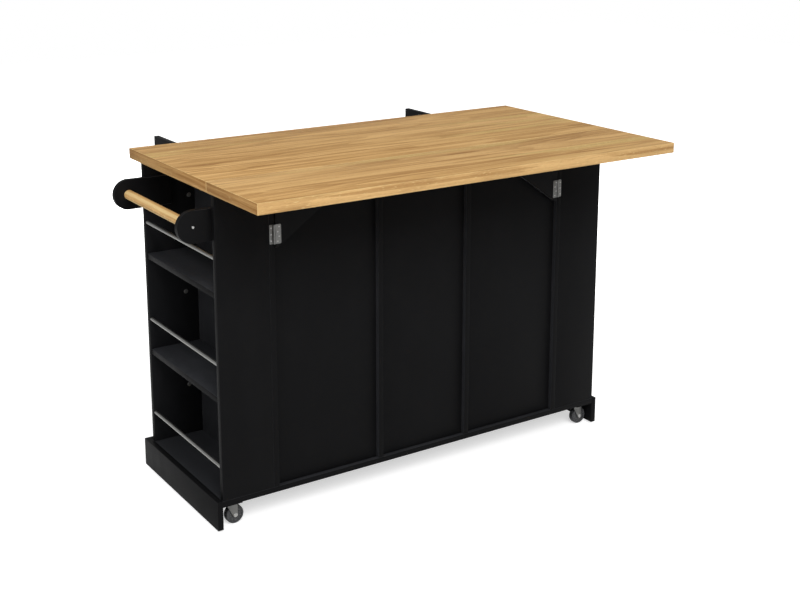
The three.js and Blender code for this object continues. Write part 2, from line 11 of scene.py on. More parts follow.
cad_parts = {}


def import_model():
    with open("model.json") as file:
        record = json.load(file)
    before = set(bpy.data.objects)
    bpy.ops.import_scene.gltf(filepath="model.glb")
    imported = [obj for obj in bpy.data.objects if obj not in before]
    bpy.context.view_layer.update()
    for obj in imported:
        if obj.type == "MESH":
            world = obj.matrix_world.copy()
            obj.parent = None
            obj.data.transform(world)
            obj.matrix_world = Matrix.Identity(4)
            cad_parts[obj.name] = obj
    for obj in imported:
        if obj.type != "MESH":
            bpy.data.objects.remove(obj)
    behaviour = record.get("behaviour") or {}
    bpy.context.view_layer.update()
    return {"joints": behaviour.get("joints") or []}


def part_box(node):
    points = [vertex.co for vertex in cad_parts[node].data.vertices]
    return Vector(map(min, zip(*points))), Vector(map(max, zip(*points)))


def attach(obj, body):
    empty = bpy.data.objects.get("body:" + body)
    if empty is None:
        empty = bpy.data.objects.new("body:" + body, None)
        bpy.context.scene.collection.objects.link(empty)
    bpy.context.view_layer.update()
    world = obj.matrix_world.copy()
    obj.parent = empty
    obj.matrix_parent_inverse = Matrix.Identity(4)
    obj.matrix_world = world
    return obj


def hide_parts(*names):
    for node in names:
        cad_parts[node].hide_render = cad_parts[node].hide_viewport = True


bl_info = {
    "name": "Drop leaf island",
    "version": (1, 0, 0),
    "blender": (4, 5, 0),
    "location": "3D View > Sidebar > Island",
    "description": "Makes the visible pieces of a drop leaf kitchen island on its packed frame",
    "category": "Add Mesh",
}

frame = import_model()
JOINTS = {joint["name"]: joint for joint in frame["joints"]}

MM = 0.001
NEAR = 1e-9
SIDES = (("left", -1), ("right", 1))
CORNERS = [
    (f"{face}_{end}", side, depth) for end, side in SIDES for face, depth in (("front", -1), ("back", 1))
]


# ---- sizes and colours


def length(name, default, description):
    """A size in metres that the panel shows in the scene's units."""
    return FloatProperty(name=name, description=description, default=default, min=0.0, unit="LENGTH")


def colour(name, code, description):
    """A colour written as the screen shows it, such as c9a06c."""
    limits = {"subtype": "COLOR", "size": 3, "min": 0.0, "max": 1.0}
    return FloatVectorProperty(name=name, description=description, default=linear(code), **limits)


def linear(code):
    """The linear red, green and blue of a screen colour."""
    parts = [int(code[i : i + 2], 16) / 255 for i in (0, 2, 4)]
    return tuple(p / 12.92 if p <= 0.04045 else ((p + 0.055) / 1.055) ** 2.4 for p in parts)


class IslandBoards(bpy.types.PropertyGroup):
    """Sizes and colours of the black boards."""

    thickness: length("Thickness", 0.015, "Thickness of the cabinet's boards")
    ease: length("Edge ease", 0.0009, "Width of the eased arris on a board")
    black: colour("Black", "101011", "Face of the black boards")
    grey: colour("Worn black", "151516", "Palest patches of the black boards")
    # Painted light: the next two colours are a paler, lit copy of the black, laid on the shelves' tops
    # and the inner faces; the second is its worn patches.
    inside: colour("Lit black", "2f3033", "Face of the shelves")
    worn_lit_black: colour("Worn lit black", "3a3b3e", "Palest patches of the shelves")
    # Painted highlight: the eased arrises of the black boards are painted this paler grey, in patches.
    arris_highlight: colour("Arris highlight", "3c3c3e", "Rubbed arrises of the black boards")


class IslandOak(bpy.types.PropertyGroup):
    """Sizes and colours of the oak worktop and bar."""

    ease: length("Edge ease", 0.0015, "Width of the eased arris on the worktop")
    seam: length("Seam", 0.001, "Gap between the fixed top and the leaf")
    pale: colour("Pale oak", "d3ab73", "Palest grain")
    middle: colour("Oak", "be9660", "Common grain")
    dark: colour("Dark oak", "91683a", "Darkest grain")
    yellow: colour("Yellow oak", "c7aa6c", "Pale bands")
    # Painted light: this paler colour is laid on the long edges of the worktop and leaf.
    edge: colour("Lit edge oak", "d0ab76", "Long edges")
    # This colour is also laid on the eased arrises as a painted highlight.
    fleck: colour("Fleck", "e0ca94", "Rays and flecks")


class IslandMetal(bpy.types.PropertyGroup):
    """Sizes and colours of the metal pieces."""

    steel: colour("Steel", "b9b9b6", "Rails and pulls")
    hinge: colour("Hinge steel", "8e8e8c", "Hinges")
    zinc: colour("Zinc", "8e8e8c", "Forks and plates of the casters")
    screw_radius: length("Screw head", 0.0021, "Radius of a hinge screw's head")
    big_screw_radius: length("Bracket screw", 0.0036, "Radius of the head of a towel bracket's screw")
    cam_radius: length("Cam head", 0.0065, "Radius of a cam fitting's head")
    tyre: colour("Wheel", "2f3032", "Grey wheels")


class IslandCasters(bpy.types.PropertyGroup):
    """Sizes of the casters."""

    radius: length("Wheel radius", 0.025, "Radius of a wheel")
    width: length("Wheel width", 0.019, "Width of a wheel")
    balls: IntProperty(name="Balls", description="Balls in a swivel's race", default=14, min=3)


class IslandStage(bpy.types.PropertyGroup):
    """The floor, lamps and camera."""

    floor: length("Floor", 9.0, "Half the width of the floor")
    lens: FloatProperty(name="Lens", description="Focal length", default=57.72, unit="CAMERA")


GROUPS = {
    "island_boards": IslandBoards,
    "island_oak": IslandOak,
    "island_metal": IslandMetal,
    "island_casters": IslandCasters,
    "island_stage": IslandStage,
}


# ---- node trees


class Signal:
    """A socket of a node tree, which takes part in sums as a plain number does."""

    def __init__(self, tree, socket):
        self.tree = tree
        self.socket = socket

    def _sum(self, operation, first, second):
        node = self.tree.node("ShaderNodeMath", {"operation": operation}, {0: first, 1: second})
        return node.out(0)

    def __add__(self, other):
        return self._sum("ADD", self, other)

    def __radd__(self, other):
        return self._sum("ADD", other, self)

    def __sub__(self, other):
        return self._sum("SUBTRACT", self, other)

    def __rsub__(self, other):
        return self._sum("SUBTRACT", other, self)

    def __mul__(self, other):
        return self._sum("MULTIPLY", self, other)

    def __rmul__(self, other):
        return self._sum("MULTIPLY", other, self)


class Node:
    """A node just made, with its outputs by name or number."""

    def __init__(self, tree, node):
        self.tree = tree
        self.node = node

    def out(self, key=0):
        return Signal(self.tree, find_socket(self.node.outputs, key))


def find_socket(sockets, key):
    """A socket by its number, its identifier, or the name of one that is in use."""
    if isinstance(key, int):
        return sockets[key]
    for socket in sockets:
        if socket.identifier == key:
            return socket
    for socket in sockets:
        if socket.name == key and socket.enabled:
            return socket
    raise KeyError(f"no socket {key}")


class Tree:
    """A node tree with one way to add a node."""

    def __init__(self, tree):
        self.tree = tree

    def node(self, kind, settings=None, sockets=None):
        made = self.tree.nodes.new(kind)
        for name, value in (settings or {}).items():
            if name == "stops":
                self._stops(made.color_ramp, value)
            else:
                setattr(made, name, value)
        for key, value in (sockets or {}).items():
            self.feed(find_socket(made.inputs, key), value)
        return Node(self, made)

    def feed(self, socket, value):
        if isinstance(value, Signal):
            self.tree.links.new(value.socket, socket)
        elif isinstance(value, (list, tuple)) and value and isinstance(value[0], Signal):
            for one in value:
                self.tree.links.new(one.socket, socket)
        elif socket.type == "RGBA" and len(value) == 3:
            socket.default_value = (*value, 1.0)
        else:
            socket.default_value = value

    @staticmethod
    def _stops(ramp, stops):
        while len(ramp.elements) < len(stops):
            ramp.elements.new(0.5)
        for element, (place, shade) in zip(ramp.elements, stops):
            element.position = place
            element.color = (*shade, 1.0)


class Finish(Tree):
    """A material made of nodes round one Principled shader."""

    def __init__(self, name, fixed=None):
        self.material = bpy.data.materials.new(name)
        self.material.use_nodes = True
        super().__init__(self.material.node_tree)
        self.shader = self.tree.nodes["Principled BSDF"]
        for key, value in (fixed or {}).items():
            self.set(key, value)
        self.place = self.node("ShaderNodeTexCoord").out("Object")

    def set(self, key, value):
        self.feed(find_socket(self.shader.inputs, key), value)

    def stretched(self, scale):
        """The piece's own coordinates, stretched along each axis."""
        sockets = {0: self.place, 1: scale}
        return self.node("ShaderNodeVectorMath", {"operation": "MULTIPLY"}, sockets).out(0)

    def fraction(self, value):
        return self.node("ShaderNodeMath", {"operation": "FRACT"}, {0: value}).out(0)

    def facing(self, axis, side=0):
        """1 where the surface faces along an axis: to one side, or to either where side is 0."""
        facing = self.node("ShaderNodeTexCoord").out("Normal")
        along = self.node("ShaderNodeSeparateXYZ", None, {0: facing}).out(axis)
        return self.step(along * (side or along), 0.5, 0.7)

    def arris(self, through=None):
        """1 on an eased edge, which faces none of the axes squarely, and 0 on a flat face.

        On a piece with round ends, only the edges of its two faces count, which face through it in part.
        """
        facing = self.node("ShaderNodeTexCoord").out("Normal")
        size = self.node("ShaderNodeVectorMath", {"operation": "ABSOLUTE"}, {0: facing}).out(0)
        parts = self.node("ShaderNodeSeparateXYZ", None, {0: size})
        if through:
            share = parts.out(through)
            return self.step(share, 0.2, 0.45) * (1.0 - self.step(share, 0.8, 0.95))
        x, y, z = (parts.out(axis) for axis in "XYZ")
        pair = self.node("ShaderNodeMath", {"operation": "MAXIMUM"}, {0: x, 1: y}).out(0)
        most = self.node("ShaderNodeMath", {"operation": "MAXIMUM"}, {0: pair, 1: z}).out(0)
        return self.step(1.0 - most, 0.02, 0.16)

    def noise(self, vector, detail=2.0, rough=0.5, scale=1.0):
        sockets = {"Vector": vector, "Scale": scale, "Detail": detail, "Roughness": rough}
        return self.node("ShaderNodeTexNoise", None, sockets).out("Fac")

    def step(self, value, low, high):
        """0 below low, 1 above high, and rising smoothly between."""
        settings = {"interpolation_type": "SMOOTHSTEP"}
        sockets = {"Value": value, "From Min": low, "From Max": high}
        return self.node("ShaderNodeMapRange", settings, sockets).out("Result")

    def mix(self, share, first, second):
        settings = {"data_type": "RGBA"}
        sockets = {"Factor_Float": share, "A_Color": first, "B_Color": second}
        return self.node("ShaderNodeMix", settings, sockets).out("Result_Color")

    def bump(self, height, distance, strength=1.0):
        sockets = {"Height": height, "Distance": distance, "Strength": strength}
        self.set("Normal", self.node("ShaderNodeBump", None, sockets).out("Normal"))


BLACK = (0.0, 0.0, 0.0)
WHITE = (1.0, 1.0, 1.0)


def blended(first, second, share):
    """A colour between two, worked out in Python."""
    return tuple(a + (b - a) * share for a, b in zip(first, second))


def black_board(name, smooth=None, share=1.0, through=None):
    """Satin black board: a fine pebbled face, cloudy wear, and arrises made paler by a painted highlight.

    A share of a paler black, which is painted light, lies on the lit faces, given as an axis and a side.
    A piece with round ends is told the axis that runs through it.
    """
    sizes = bpy.context.scene.island_boards
    paint = Finish(name, {"Specular IOR Level": 0.06})
    pebble = paint.noise(paint.place, 3.0, 0.6, 1400.0)
    cloud = paint.noise(paint.place, 3.0, 0.55, 7.0)
    rubbed = paint.noise(paint.stretched((26.0, 26.0, 5.0)), 4.0, 0.6)
    wear = paint.step(cloud * 0.6 + rubbed * 0.4, 0.42, 0.72)
    fleck = paint.step(paint.noise(paint.place, 1.0, 0.5, 620.0), 0.66, 0.8)
    face = paint.mix(wear * 0.5 + fleck * 0.2, sizes.black, sizes.grey)
    # Painted light: a paler black, with worn patches of its own, is laid on the faces given, in the share
    # given.
    if smooth:
        inside = paint.mix(wear * 0.6 + fleck * 0.2, sizes.inside, sizes.worn_lit_black)
        face = paint.mix(paint.facing(*smooth) * share, face, inside)
    # Painted highlight: the eased arrises are painted paler, broken up by the rubbed pattern.
    paint.set("Base Color", paint.mix(paint.arris(through) * (0.5 + rubbed * 0.6), face, sizes.arris_highlight))
    paint.set("Roughness", 0.38 + wear * 0.1 + pebble * 0.12)
    paint.bump(pebble * 0.5 + rubbed * 0.3, 0.0003, 0.35)
    return paint.material


def oak(name, along, pale=1.0):
    """Oak with its grain along one axis: growth rings, streaks, pale bands with flecks, open pores, and a
    painted highlight on the eased arrises.

    The pale bands, and the painted light that makes the long edges paler, come in the share that is asked
    for.
    """
    sizes = bpy.context.scene.island_oak
    paint = Finish(name, {"Specular IOR Level": 0.06})
    parts = paint.node("ShaderNodeSeparateXYZ", None, {0: paint.place})
    axes = {"x": ("X", "Y", "Z"), "y": ("Y", "X", "Z")}[along]
    run, cross, rise = (parts.out(axis) for axis in axes)
    end = paint.facing(axes[0])
    # A strip on the board's end has its own grain, across the board
    run, cross = run + end * (cross - run), cross + end * (run - cross)

    def grain(along_scale, across_scale, shift, detail, rough, sway=0.0):
        sockets = {
            "X": (run + shift) * along_scale,
            "Y": (cross + sway) * across_scale,
            "Z": (rise + sway) * across_scale,
        }
        return paint.noise(paint.node("ShaderNodeCombineXYZ", None, sockets).out(0), detail, rough)

    drift = (grain(1.5, 5.0, 3.1, 2.0, 0.5) - 0.5) * 0.03
    sway = drift + (grain(14.0, 30.0, 1.7, 2.0, 0.5) - 0.5) * 0.0016
    ring = paint.fraction(grain(0.75, 7.0, 0.0, 2.0, 0.5, sway) * 13.0)
    late = paint.step(ring, 0.35, 0.95) * (1.0 - paint.step(ring, 0.95, 1.0))
    band = grain(1.0, 20.0, 6.6, 3.0, 0.6, sway)
    streak = grain(2.2, 110.0, 5.3, 3.0, 0.65, sway)
    fine = grain(9.0, 560.0, 2.2, 3.0, 0.6, sway)
    vein = paint.step(grain(1.4, 62.0, 9.2, 2.0, 0.5, sway), 0.57, 0.64)
    edge = paint.facing(axes[1])
    tone = 0.05 * pale - 0.02 + band * 0.46 + streak * 0.36 + fine * 0.2 - late * 0.1
    # The long edges are streaky and a little paler, the paleness being painted light, and the end strips
    # streaky and darker
    tone = tone + edge * ((streak - 0.5) * 0.5 + 0.03) + end * ((streak - 0.5) * 0.4 - 0.1)
    ramp = {
        "stops": [
            (0.3, sizes.dark),
            (0.42, blended(sizes.dark, sizes.middle, 0.6)),
            (0.5, sizes.middle),
            (0.64, sizes.pale),
        ]
    }
    shade = paint.node("ShaderNodeValToRGB", ramp, {"Fac": tone}).out("Color")
    # Painted light: the long edges take the paler edge colour, and more pale flecks below.
    shade = paint.mix(edge * (0.45 * pale), shade, sizes.edge)
    shade = paint.mix(vein * (0.25 + fine * 0.5), shade, sizes.dark)
    yellow = paint.step(grain(0.8, 13.0, 11.4, 2.0, 0.5, sway), 0.56, 0.66)
    shade = paint.mix(yellow * (0.6 * pale), shade, sizes.yellow)
    flecks = paint.step(grain(60.0, 420.0, 8.4, 2.0, 0.6), 0.6, 0.7)
    shade = paint.mix(flecks * (0.16 + yellow * 0.6 + edge * 0.4), shade, sizes.fleck)
    pores = paint.step(grain(70.0, 1500.0, 4.6, 1.0, 0.5), 0.6, 0.7)
    shade = paint.mix(pores * 0.3, shade, blended(sizes.dark, BLACK, 0.3))
    shade = paint.mix(end * 0.2, shade, blended(sizes.dark, BLACK, 0.2))
    # Painted highlight: pale broken lines along the eased arrises.
    shade = paint.mix(paint.arris() * (0.1 + fine * 0.8), shade, sizes.fleck)
    paint.set("Base Color", shade)
    paint.set("Roughness", 0.5 + fine * 0.1 - flecks * 0.08 + pores * 0.1)
    paint.bump(fine * 0.5 + streak * 0.3 - pores * 0.8, 0.00025, 0.4)
    return paint.material


def metal(name, field, lines, rough):
    """Bare metal in one of the metals' colours, brushed along its axes, with a faint cloud."""
    shade = getattr(bpy.context.scene.island_metal, field)
    paint = Finish(name, {"Metallic": 1.0})
    brushed = paint.noise(paint.stretched(lines), 3.0, 0.6)
    cloud = paint.noise(paint.place, 3.0, 0.55, 34.0)
    paint.set("Base Color", paint.mix(brushed * 0.55 + cloud * 0.35, blended(shade, BLACK, 0.3), shade))
    paint.set("Roughness", rough + brushed * 0.12 + cloud * 0.1)
    paint.bump(brushed, 0.0001, 0.25)
    return paint.material


def zinc_sheet():
    """Zinc plating: a bright sheet with soft mottling."""
    shade = bpy.context.scene.island_metal.zinc
    paint = Finish("zinc_sheet", {"Metallic": 1.0})
    mottle = paint.noise(paint.place, 4.0, 0.6, 160.0)
    dull = paint.step(paint.noise(paint.place, 3.0, 0.6, 48.0), 0.4, 0.7)
    paint.set("Base Color", paint.mix(mottle * 0.5 + dull * 0.3, shade, blended(shade, BLACK, 0.35)))
    paint.set("Roughness", 0.26 + dull * 0.16 + mottle * 0.08)
    paint.bump(mottle, 0.0001, 0.2)
    return paint.material


def grey_wheel():
    """Smooth grey plastic, scuffed along the tread."""
    sizes = bpy.context.scene.island_metal
    paint = Finish("grey_wheel", {"Coat Weight": 0.12, "Coat Roughness": 0.15})
    scuff = paint.step(paint.noise(paint.place, 4.0, 0.65, 240.0), 0.5, 0.75)
    cloud = paint.noise(paint.place, 2.0, 0.5, 60.0)
    pale = blended(sizes.tyre, WHITE, 0.12)
    paint.set("Base Color", paint.mix(scuff * 0.3 + cloud * 0.25, sizes.tyre, pale))
    paint.set("Roughness", 0.24 + scuff * 0.3)
    paint.bump(scuff, 0.0001, 0.3)
    return paint.material


def screw_steel():
    """Bright plated screws, axles and balls, with a little grime."""
    shade = bpy.context.scene.island_metal.steel
    paint = Finish("screw_steel", {"Metallic": 1.0})
    grime = paint.noise(paint.place, 3.0, 0.6, 900.0)
    paint.set("Base Color", paint.mix(grime * 0.5, blended(shade, WHITE, 0.3), shade))
    paint.set("Roughness", 0.22 + grime * 0.15)
    return paint.material


def cam_zinc():
    """Dull cast fittings set in the boards."""
    shade = blended(bpy.context.scene.island_metal.zinc, BLACK, 0.45)
    paint = Finish("cam_zinc", {"Metallic": 0.7})
    cast = paint.noise(paint.place, 3.0, 0.6, 1100.0)
    paint.set("Base Color", paint.mix(cast * 0.5, shade, blended(shade, BLACK, 0.3)))
    paint.set("Roughness", 0.42 + cast * 0.2)
    paint.bump(cast, 0.0001, 0.3)
    return paint.material


FINISH_MAKERS = {
    "black_board": lambda: black_board("black_board"),
    # Painted light: these five are copies of the black that lay a paler black on the faces given.
    "black_shelf": lambda: black_board("black_shelf", ("Z", 1)),
    "black_bottom": lambda: black_board("black_bottom", ("Z", 1), 0.6),
    "black_upright": lambda: black_board("black_upright", ("X", 0), 0.6),
    "black_front_stile": lambda: black_board("black_front_stile", ("Y", 1), 0.15),
    "black_back_stile": lambda: black_board("black_back_stile", ("Y", -1), 0.6),
    "black_ear": lambda: black_board("black_ear", through="Y"),
    "oak_top": lambda: oak("oak_top", "x"),
    "oak_bar": lambda: oak("oak_bar", "y", 0.0),
    "brushed_rail": lambda: metal("brushed_rail", "steel", (1800.0, 14.0, 1800.0), 0.24),
    "hinge_steel": lambda: metal("hinge_steel", "hinge", (1300.0, 1300.0, 40.0), 0.32),
    "pull_steel": lambda: metal("pull_steel", "steel", (1300.0, 1300.0, 1300.0), 0.24),
    "zinc_sheet": zinc_sheet,
    "grey_wheel": grey_wheel,
    "screw_steel": screw_steel,
    "cam_zinc": cam_zinc,
}
FINISHES = {}


def finish(name):
    """A material by name, made when it is first asked for."""
    if name not in FINISHES:
        FINISHES[name] = FINISH_MAKERS[name]()
    return FINISHES[name]


# ---- shapes


class Shape:
    """Closed bodies gathered into one mesh."""

    def __init__(self):
        self.mesh = bmesh.new()

    def _take(self, part, matrix=None):
        if matrix is not None:
            part.transform(matrix)
        if part.calc_volume(signed=True) < 0:
            bmesh.ops.reverse_faces(part, faces=part.faces)
        scratch = bpy.data.meshes.new("scratch")
        part.to_mesh(scratch)
        self.mesh.from_mesh(scratch)
        bpy.data.meshes.remove(scratch)
        part.free()
        return self

    @staticmethod
    def _round_off(part, edges, ease, rounds):
        bmesh.ops.bevel(part, geom=edges, offset=ease, segments=rounds, profile=0.5, affect="EDGES")

    def block(self, low, high, ease, matrix=None, rounds=2):
        """A box with eased edges."""
        part = bmesh.new()
        bmesh.ops.create_cube(part, size=1.0)
        size = [b - a for a, b in zip(low, high)]
        middle = [(a + b) / 2 for a, b in zip(low, high)]
        part.transform(Matrix.Translation(middle) @ Matrix.Diagonal((*size, 1.0)))
        if ease:
            self._round_off(part, part.edges[:], ease, rounds)
        return self._take(part, matrix)

    def prism(self, outline, low, high, ease, matrix=None, rounds=2):
        """An outline in x and y, raised from low to high in z, its rims eased."""
        part = bmesh.new()
        foot = [part.verts.new((x, y, low)) for x, y in outline]
        head = [part.verts.new((x, y, high)) for x, y in outline]
        part.faces.new(foot[::-1])
        part.faces.new(head)
        count = len(outline)
        for i in range(count):
            part.faces.new((foot[i], foot[(i + 1) % count], head[(i + 1) % count], head[i]))
        if ease:
            rims = [e for e in part.edges if abs(e.verts[0].co.z - e.verts[1].co.z) < NEAR]
            self._round_off(part, rims, ease, rounds)
        return self._take(part, matrix)

    def turned(self, profile, steps, matrix=None):
        """A profile of (radius, height) turned about z, closed on the axis or on itself."""
        part = bmesh.new()
        rings = []
        turns = [2 * math.pi * i / steps for i in range(steps)]
        for radius, height in profile:
            spots = turns if radius > NEAR else turns[:1]
            ring = [(radius * math.cos(t), radius * math.sin(t), height) for t in spots]
            rings.append([part.verts.new(spot) for spot in ring])
        closed = len(rings[0]) > 1 and len(rings[-1]) > 1
        pairs = list(zip(rings, rings[1:] + rings[:1] if closed else rings[1:]))
        for lower, upper in pairs:
            for i in range(steps):
                j = (i + 1) % steps
                below = [lower[k % len(lower)] for k in (i, j)]
                above = [upper[k % len(upper)] for k in (j, i)]
                corners = list(dict.fromkeys(below + above))
                if len(corners) > 2:
                    part.faces.new(corners)
        return self._take(part, matrix)

    def rod(self, radius, low, high, matrix=None, steps=24, ease=0.0004):
        """A round bar along z with eased ends."""
        profile = [(0.0, low), (radius - ease, low), (radius, low + ease), (radius, high - ease)]
        return self.turned([*profile, (radius - ease, high), (0.0, high)], steps, matrix)

    def dome(self, radius, low, high, matrix=None, steps=20):
        """A low dome on a disc, from low to high."""
        arc = [(radius * math.cos(a), low + (high - low) * math.sin(a)) for a in (0.0, 0.4, 0.8, 1.2)]
        return self.turned([(0.0, low), *arc, (0.0, high)], steps, matrix)

    def piece(self, name, material, body, slot, *nodes, sharp=28.0):
        """The finished piece, on its body, standing for the CAD nodes that it replaces."""
        bmesh.ops.recalc_face_normals(self.mesh, faces=self.mesh.faces[:])
        data = bpy.data.meshes.new(name)
        self.mesh.to_mesh(data)
        self.mesh.free()
        data.polygons.foreach_set("use_smooth", [True] * len(data.polygons))
        data.set_sharp_from_angle(angle=math.radians(sharp))
        made = bpy.data.objects.new(name, data)
        bpy.context.scene.collection.objects.link(made)
        return on_frame(made, material, body, nodes)


def on_frame(made, material, body, nodes):
    """Puts a piece on its body, with its material, in place of the CAD nodes it stands for."""
    if not made.data.materials:
        made.data.materials.append(finish(material))
    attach(made, body)
    if nodes:
        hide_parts(*nodes)
    return made


def laid(along, across, origin):
    """The matrix that lays x along one direction and y along another, from an origin."""
    x, y = Vector(along), Vector(across)
    turn = Matrix((x, y, x.cross(y))).transposed().to_4x4()
    return Matrix.Translation(origin) @ turn


def turned_over(over):
    """Half a turn about x, or none."""
    return Matrix.Rotation(math.pi if over else 0.0, 4, "X")


def rounded(points, radii, steps=5):
    """An outline with its corners rounded, each by its own radius."""
    outline = []
    count = len(points)
    for i, (point, radius) in enumerate(zip(points, radii)):
        here = Vector(point)
        if radius < NEAR:
            outline.append(tuple(here))
            continue
        before = (Vector(points[i - 1]) - here).normalized()
        after = (Vector(points[(i + 1) % count]) - here).normalized()
        half = before.angle(after) / 2
        reach = radius / math.tan(half)
        start, stop = here + before * reach, here + after * reach
        centre = here + (before + after).normalized() * (radius / math.sin(half))
        for k in range(steps + 1):
            turn = slerp(start - centre, stop - centre, k / steps)
            outline.append(tuple(centre + turn))
    return outline


def slerp(first, second, share):
    """A vector turned part of the way from one to another of the same length."""
    angle = first.angle(second)
    if angle < NEAR:
        return first.copy()
    return (first * math.sin((1 - share) * angle) + second * math.sin(share * angle)) / math.sin(angle)


def board_box(node, **changed):
    """A CAD node's box, with any of its six bounds changed."""
    low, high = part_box(node)
    for name, value in changed.items():
        corner = low if name.startswith("low") else high
        corner["xyz".index(name[-1])] = value
    return low, high


# ---- repeated fittings, by geometry nodes


class Recipe(Tree):
    """A geometry node group with named inputs, used by one modifier at a time."""

    def __init__(self, name, inputs):
        self.group = bpy.data.node_groups.new(name, "GeometryNodeTree")
        super().__init__(self.group)
        face = self.group.interface
        face.new_socket("Geometry", in_out="OUTPUT", socket_type="NodeSocketGeometry")
        face.new_socket("Geometry", in_out="INPUT", socket_type="NodeSocketGeometry")
        for title, kind in inputs.items():
            face.new_socket(title, in_out="INPUT", socket_type=f"NodeSocket{kind}")
        self.start = self.node("NodeGroupInput")
        self.end = self.tree.nodes.new("NodeGroupOutput")

    def given(self, title):
        return self.start.out(title)

    def close(self, geometry):
        """Real geometry with its material, as the last thing in the tree."""
        real = self.node("GeometryNodeRealizeInstances", None, {"Geometry": geometry}).out(0)
        sockets = {"Geometry": real, "Material": self.given("Material")}
        painted = self.node("GeometryNodeSetMaterial", None, sockets)
        self.feed(self.end.inputs[0], painted.out(0))

    def run(self, name, points, values, facings=None):
        """A plain mesh object made from points by this group."""
        data = bpy.data.meshes.new(name)
        data.from_pydata([tuple(p) for p in points], [], [])
        if facings:
            facing = data.attributes.new("facing", "FLOAT_VECTOR", "POINT")
            facing.data.foreach_set("vector", [c for f in facings for c in f])
        carrier = bpy.data.objects.new(name + "_points", data)
        bpy.context.scene.collection.objects.link(carrier)
        modifier = carrier.modifiers.new("recipe", "NODES")
        modifier.node_group = self.group
        for item in self.group.interface.items_tree:
            if item.in_out == "INPUT" and item.name in values:
                modifier[item.identifier] = values[item.name]
        view = carrier.evaluated_get(bpy.context.evaluated_depsgraph_get())
        made = bpy.data.meshes.new_from_object(view)
        made.name = name
        made.materials.clear()
        made.materials.append(values["Material"])
        made.polygons.foreach_set("material_index", [0] * len(made.polygons))
        carrier.modifiers.remove(modifier)
        bpy.data.objects.remove(carrier)
        bpy.data.meshes.remove(data)
        real = bpy.data.objects.new(name, made)
        bpy.context.scene.collection.objects.link(real)
        return real


SCREW_SEED = 7
SCREW_SPIN = 1.5


def turned_to_face(recipe):
    """A rotation that points z along each point's facing, and spins it about that at random."""
    settings = {"data_type": "FLOAT_VECTOR"}
    facing = recipe.node("GeometryNodeInputNamedAttribute", settings, {"Name": "facing"}).out("Attribute")
    aimed = recipe.node("FunctionNodeAlignRotationToVector", {"axis": "Z"}, {"Vector": facing})
    sockets = {"Min_001": -SCREW_SPIN, "Max_001": SCREW_SPIN, "Seed": SCREW_SEED}
    random = recipe.node("FunctionNodeRandomValue", {"data_type": "FLOAT"}, sockets).out("Value_001")
    sockets = {"Axis": (0.0, 0.0, 1.0), "Angle": random}
    angle = recipe.node("FunctionNodeAxisAngleToRotation", None, sockets)
    sockets = {"Rotation": aimed.out(0), "Rotate By": angle.out(0)}
    return recipe.node("FunctionNodeRotateRotation", {"rotation_space": "LOCAL"}, sockets).out(0)


def driven_head(name, arms, sides):
    """Round heads with a driver's recess: a cross of two arms, or one slot."""
    recipe = Recipe(name, {"Radius": "Float", "Height": "Float", "Material": "Material"})
    radius, height = recipe.given("Radius"), recipe.given("Height")
    sockets = {"Vertices": sides, "Radius Top": radius * 0.78, "Radius Bottom": radius, "Depth": height}
    head = recipe.node("GeometryNodeMeshCone", None, sockets).out("Mesh")
    cutters = []
    lift = recipe.node("ShaderNodeCombineXYZ", None, {"Z": height * 0.85}).out(0)
    for across, along in ((0.3, 1.25), (1.25, 0.3))[:arms]:
        size = {"X": radius * across, "Y": radius * along, "Z": height}
        vector = recipe.node("ShaderNodeCombineXYZ", None, size).out(0)
        cutter = recipe.node("GeometryNodeMeshCube", None, {"Size": vector}).out("Mesh")
        sockets = {"Geometry": cutter, "Translation": lift}
        cutters.append(recipe.node("GeometryNodeTransform", None, sockets).out(0))
    sockets = {"Mesh 1": head, "Mesh 2": cutters}
    bored = recipe.node("GeometryNodeMeshBoolean", {"operation": "DIFFERENCE"}, sockets).out("Mesh")
    turn = turned_to_face(recipe)
    sockets = {"Points": recipe.given("Geometry"), "Instance": bored, "Rotation": turn}
    recipe.close(recipe.node("GeometryNodeInstanceOnPoints", None, sockets).out(0))
    return recipe


def ball_ring():
    """Balls set evenly round each point."""
    names = {"Balls": "Int", "Ring": "Float", "Ball": "Float", "Material": "Material"}
    recipe = Recipe("ball_ring", names)
    sockets = {"Segments": 10, "Rings": 6, "Radius": recipe.given("Ball")}
    ball = recipe.node("GeometryNodeMeshUVSphere", None, sockets).out("Mesh")
    sockets = {"Vertices": recipe.given("Balls"), "Radius": recipe.given("Ring")}
    ring = recipe.node("GeometryNodeMeshCircle", None, sockets).out("Mesh")
    balls = recipe.node("GeometryNodeInstanceOnPoints", None, {"Points": ring, "Instance": ball}).out(0)
    sockets = {"Points": recipe.given("Geometry"), "Instance": balls}
    recipe.close(recipe.node("GeometryNodeInstanceOnPoints", None, sockets).out(0))
    return recipe


def rail_rank():
    """Round rails along y, one at each point."""
    names = {"Radius": "Float", "Length": "Float", "Material": "Material"}
    recipe = Recipe("rail_rank", names)
    span = recipe.given("Length")
    ends = [recipe.node("ShaderNodeCombineXYZ", None, {"Y": span * part}).out(0) for part in (-0.5, 0.5)]
    line = recipe.node("GeometryNodeCurvePrimitiveLine", None, {"Start": ends[0], "End": ends[1]}).out(0)
    sockets = {"Resolution": 28, "Radius": recipe.given("Radius")}
    outline = recipe.node("GeometryNodeCurvePrimitiveCircle", None, sockets).out(0)
    sockets = {"Curve": line, "Profile Curve": outline, "Fill Caps": True}
    rail = recipe.node("GeometryNodeCurveToMesh", None, sockets).out(0)
    sockets = {"Points": recipe.given("Geometry"), "Instance": rail}
    recipe.close(recipe.node("GeometryNodeInstanceOnPoints", None, sockets).out(0))
    return recipe


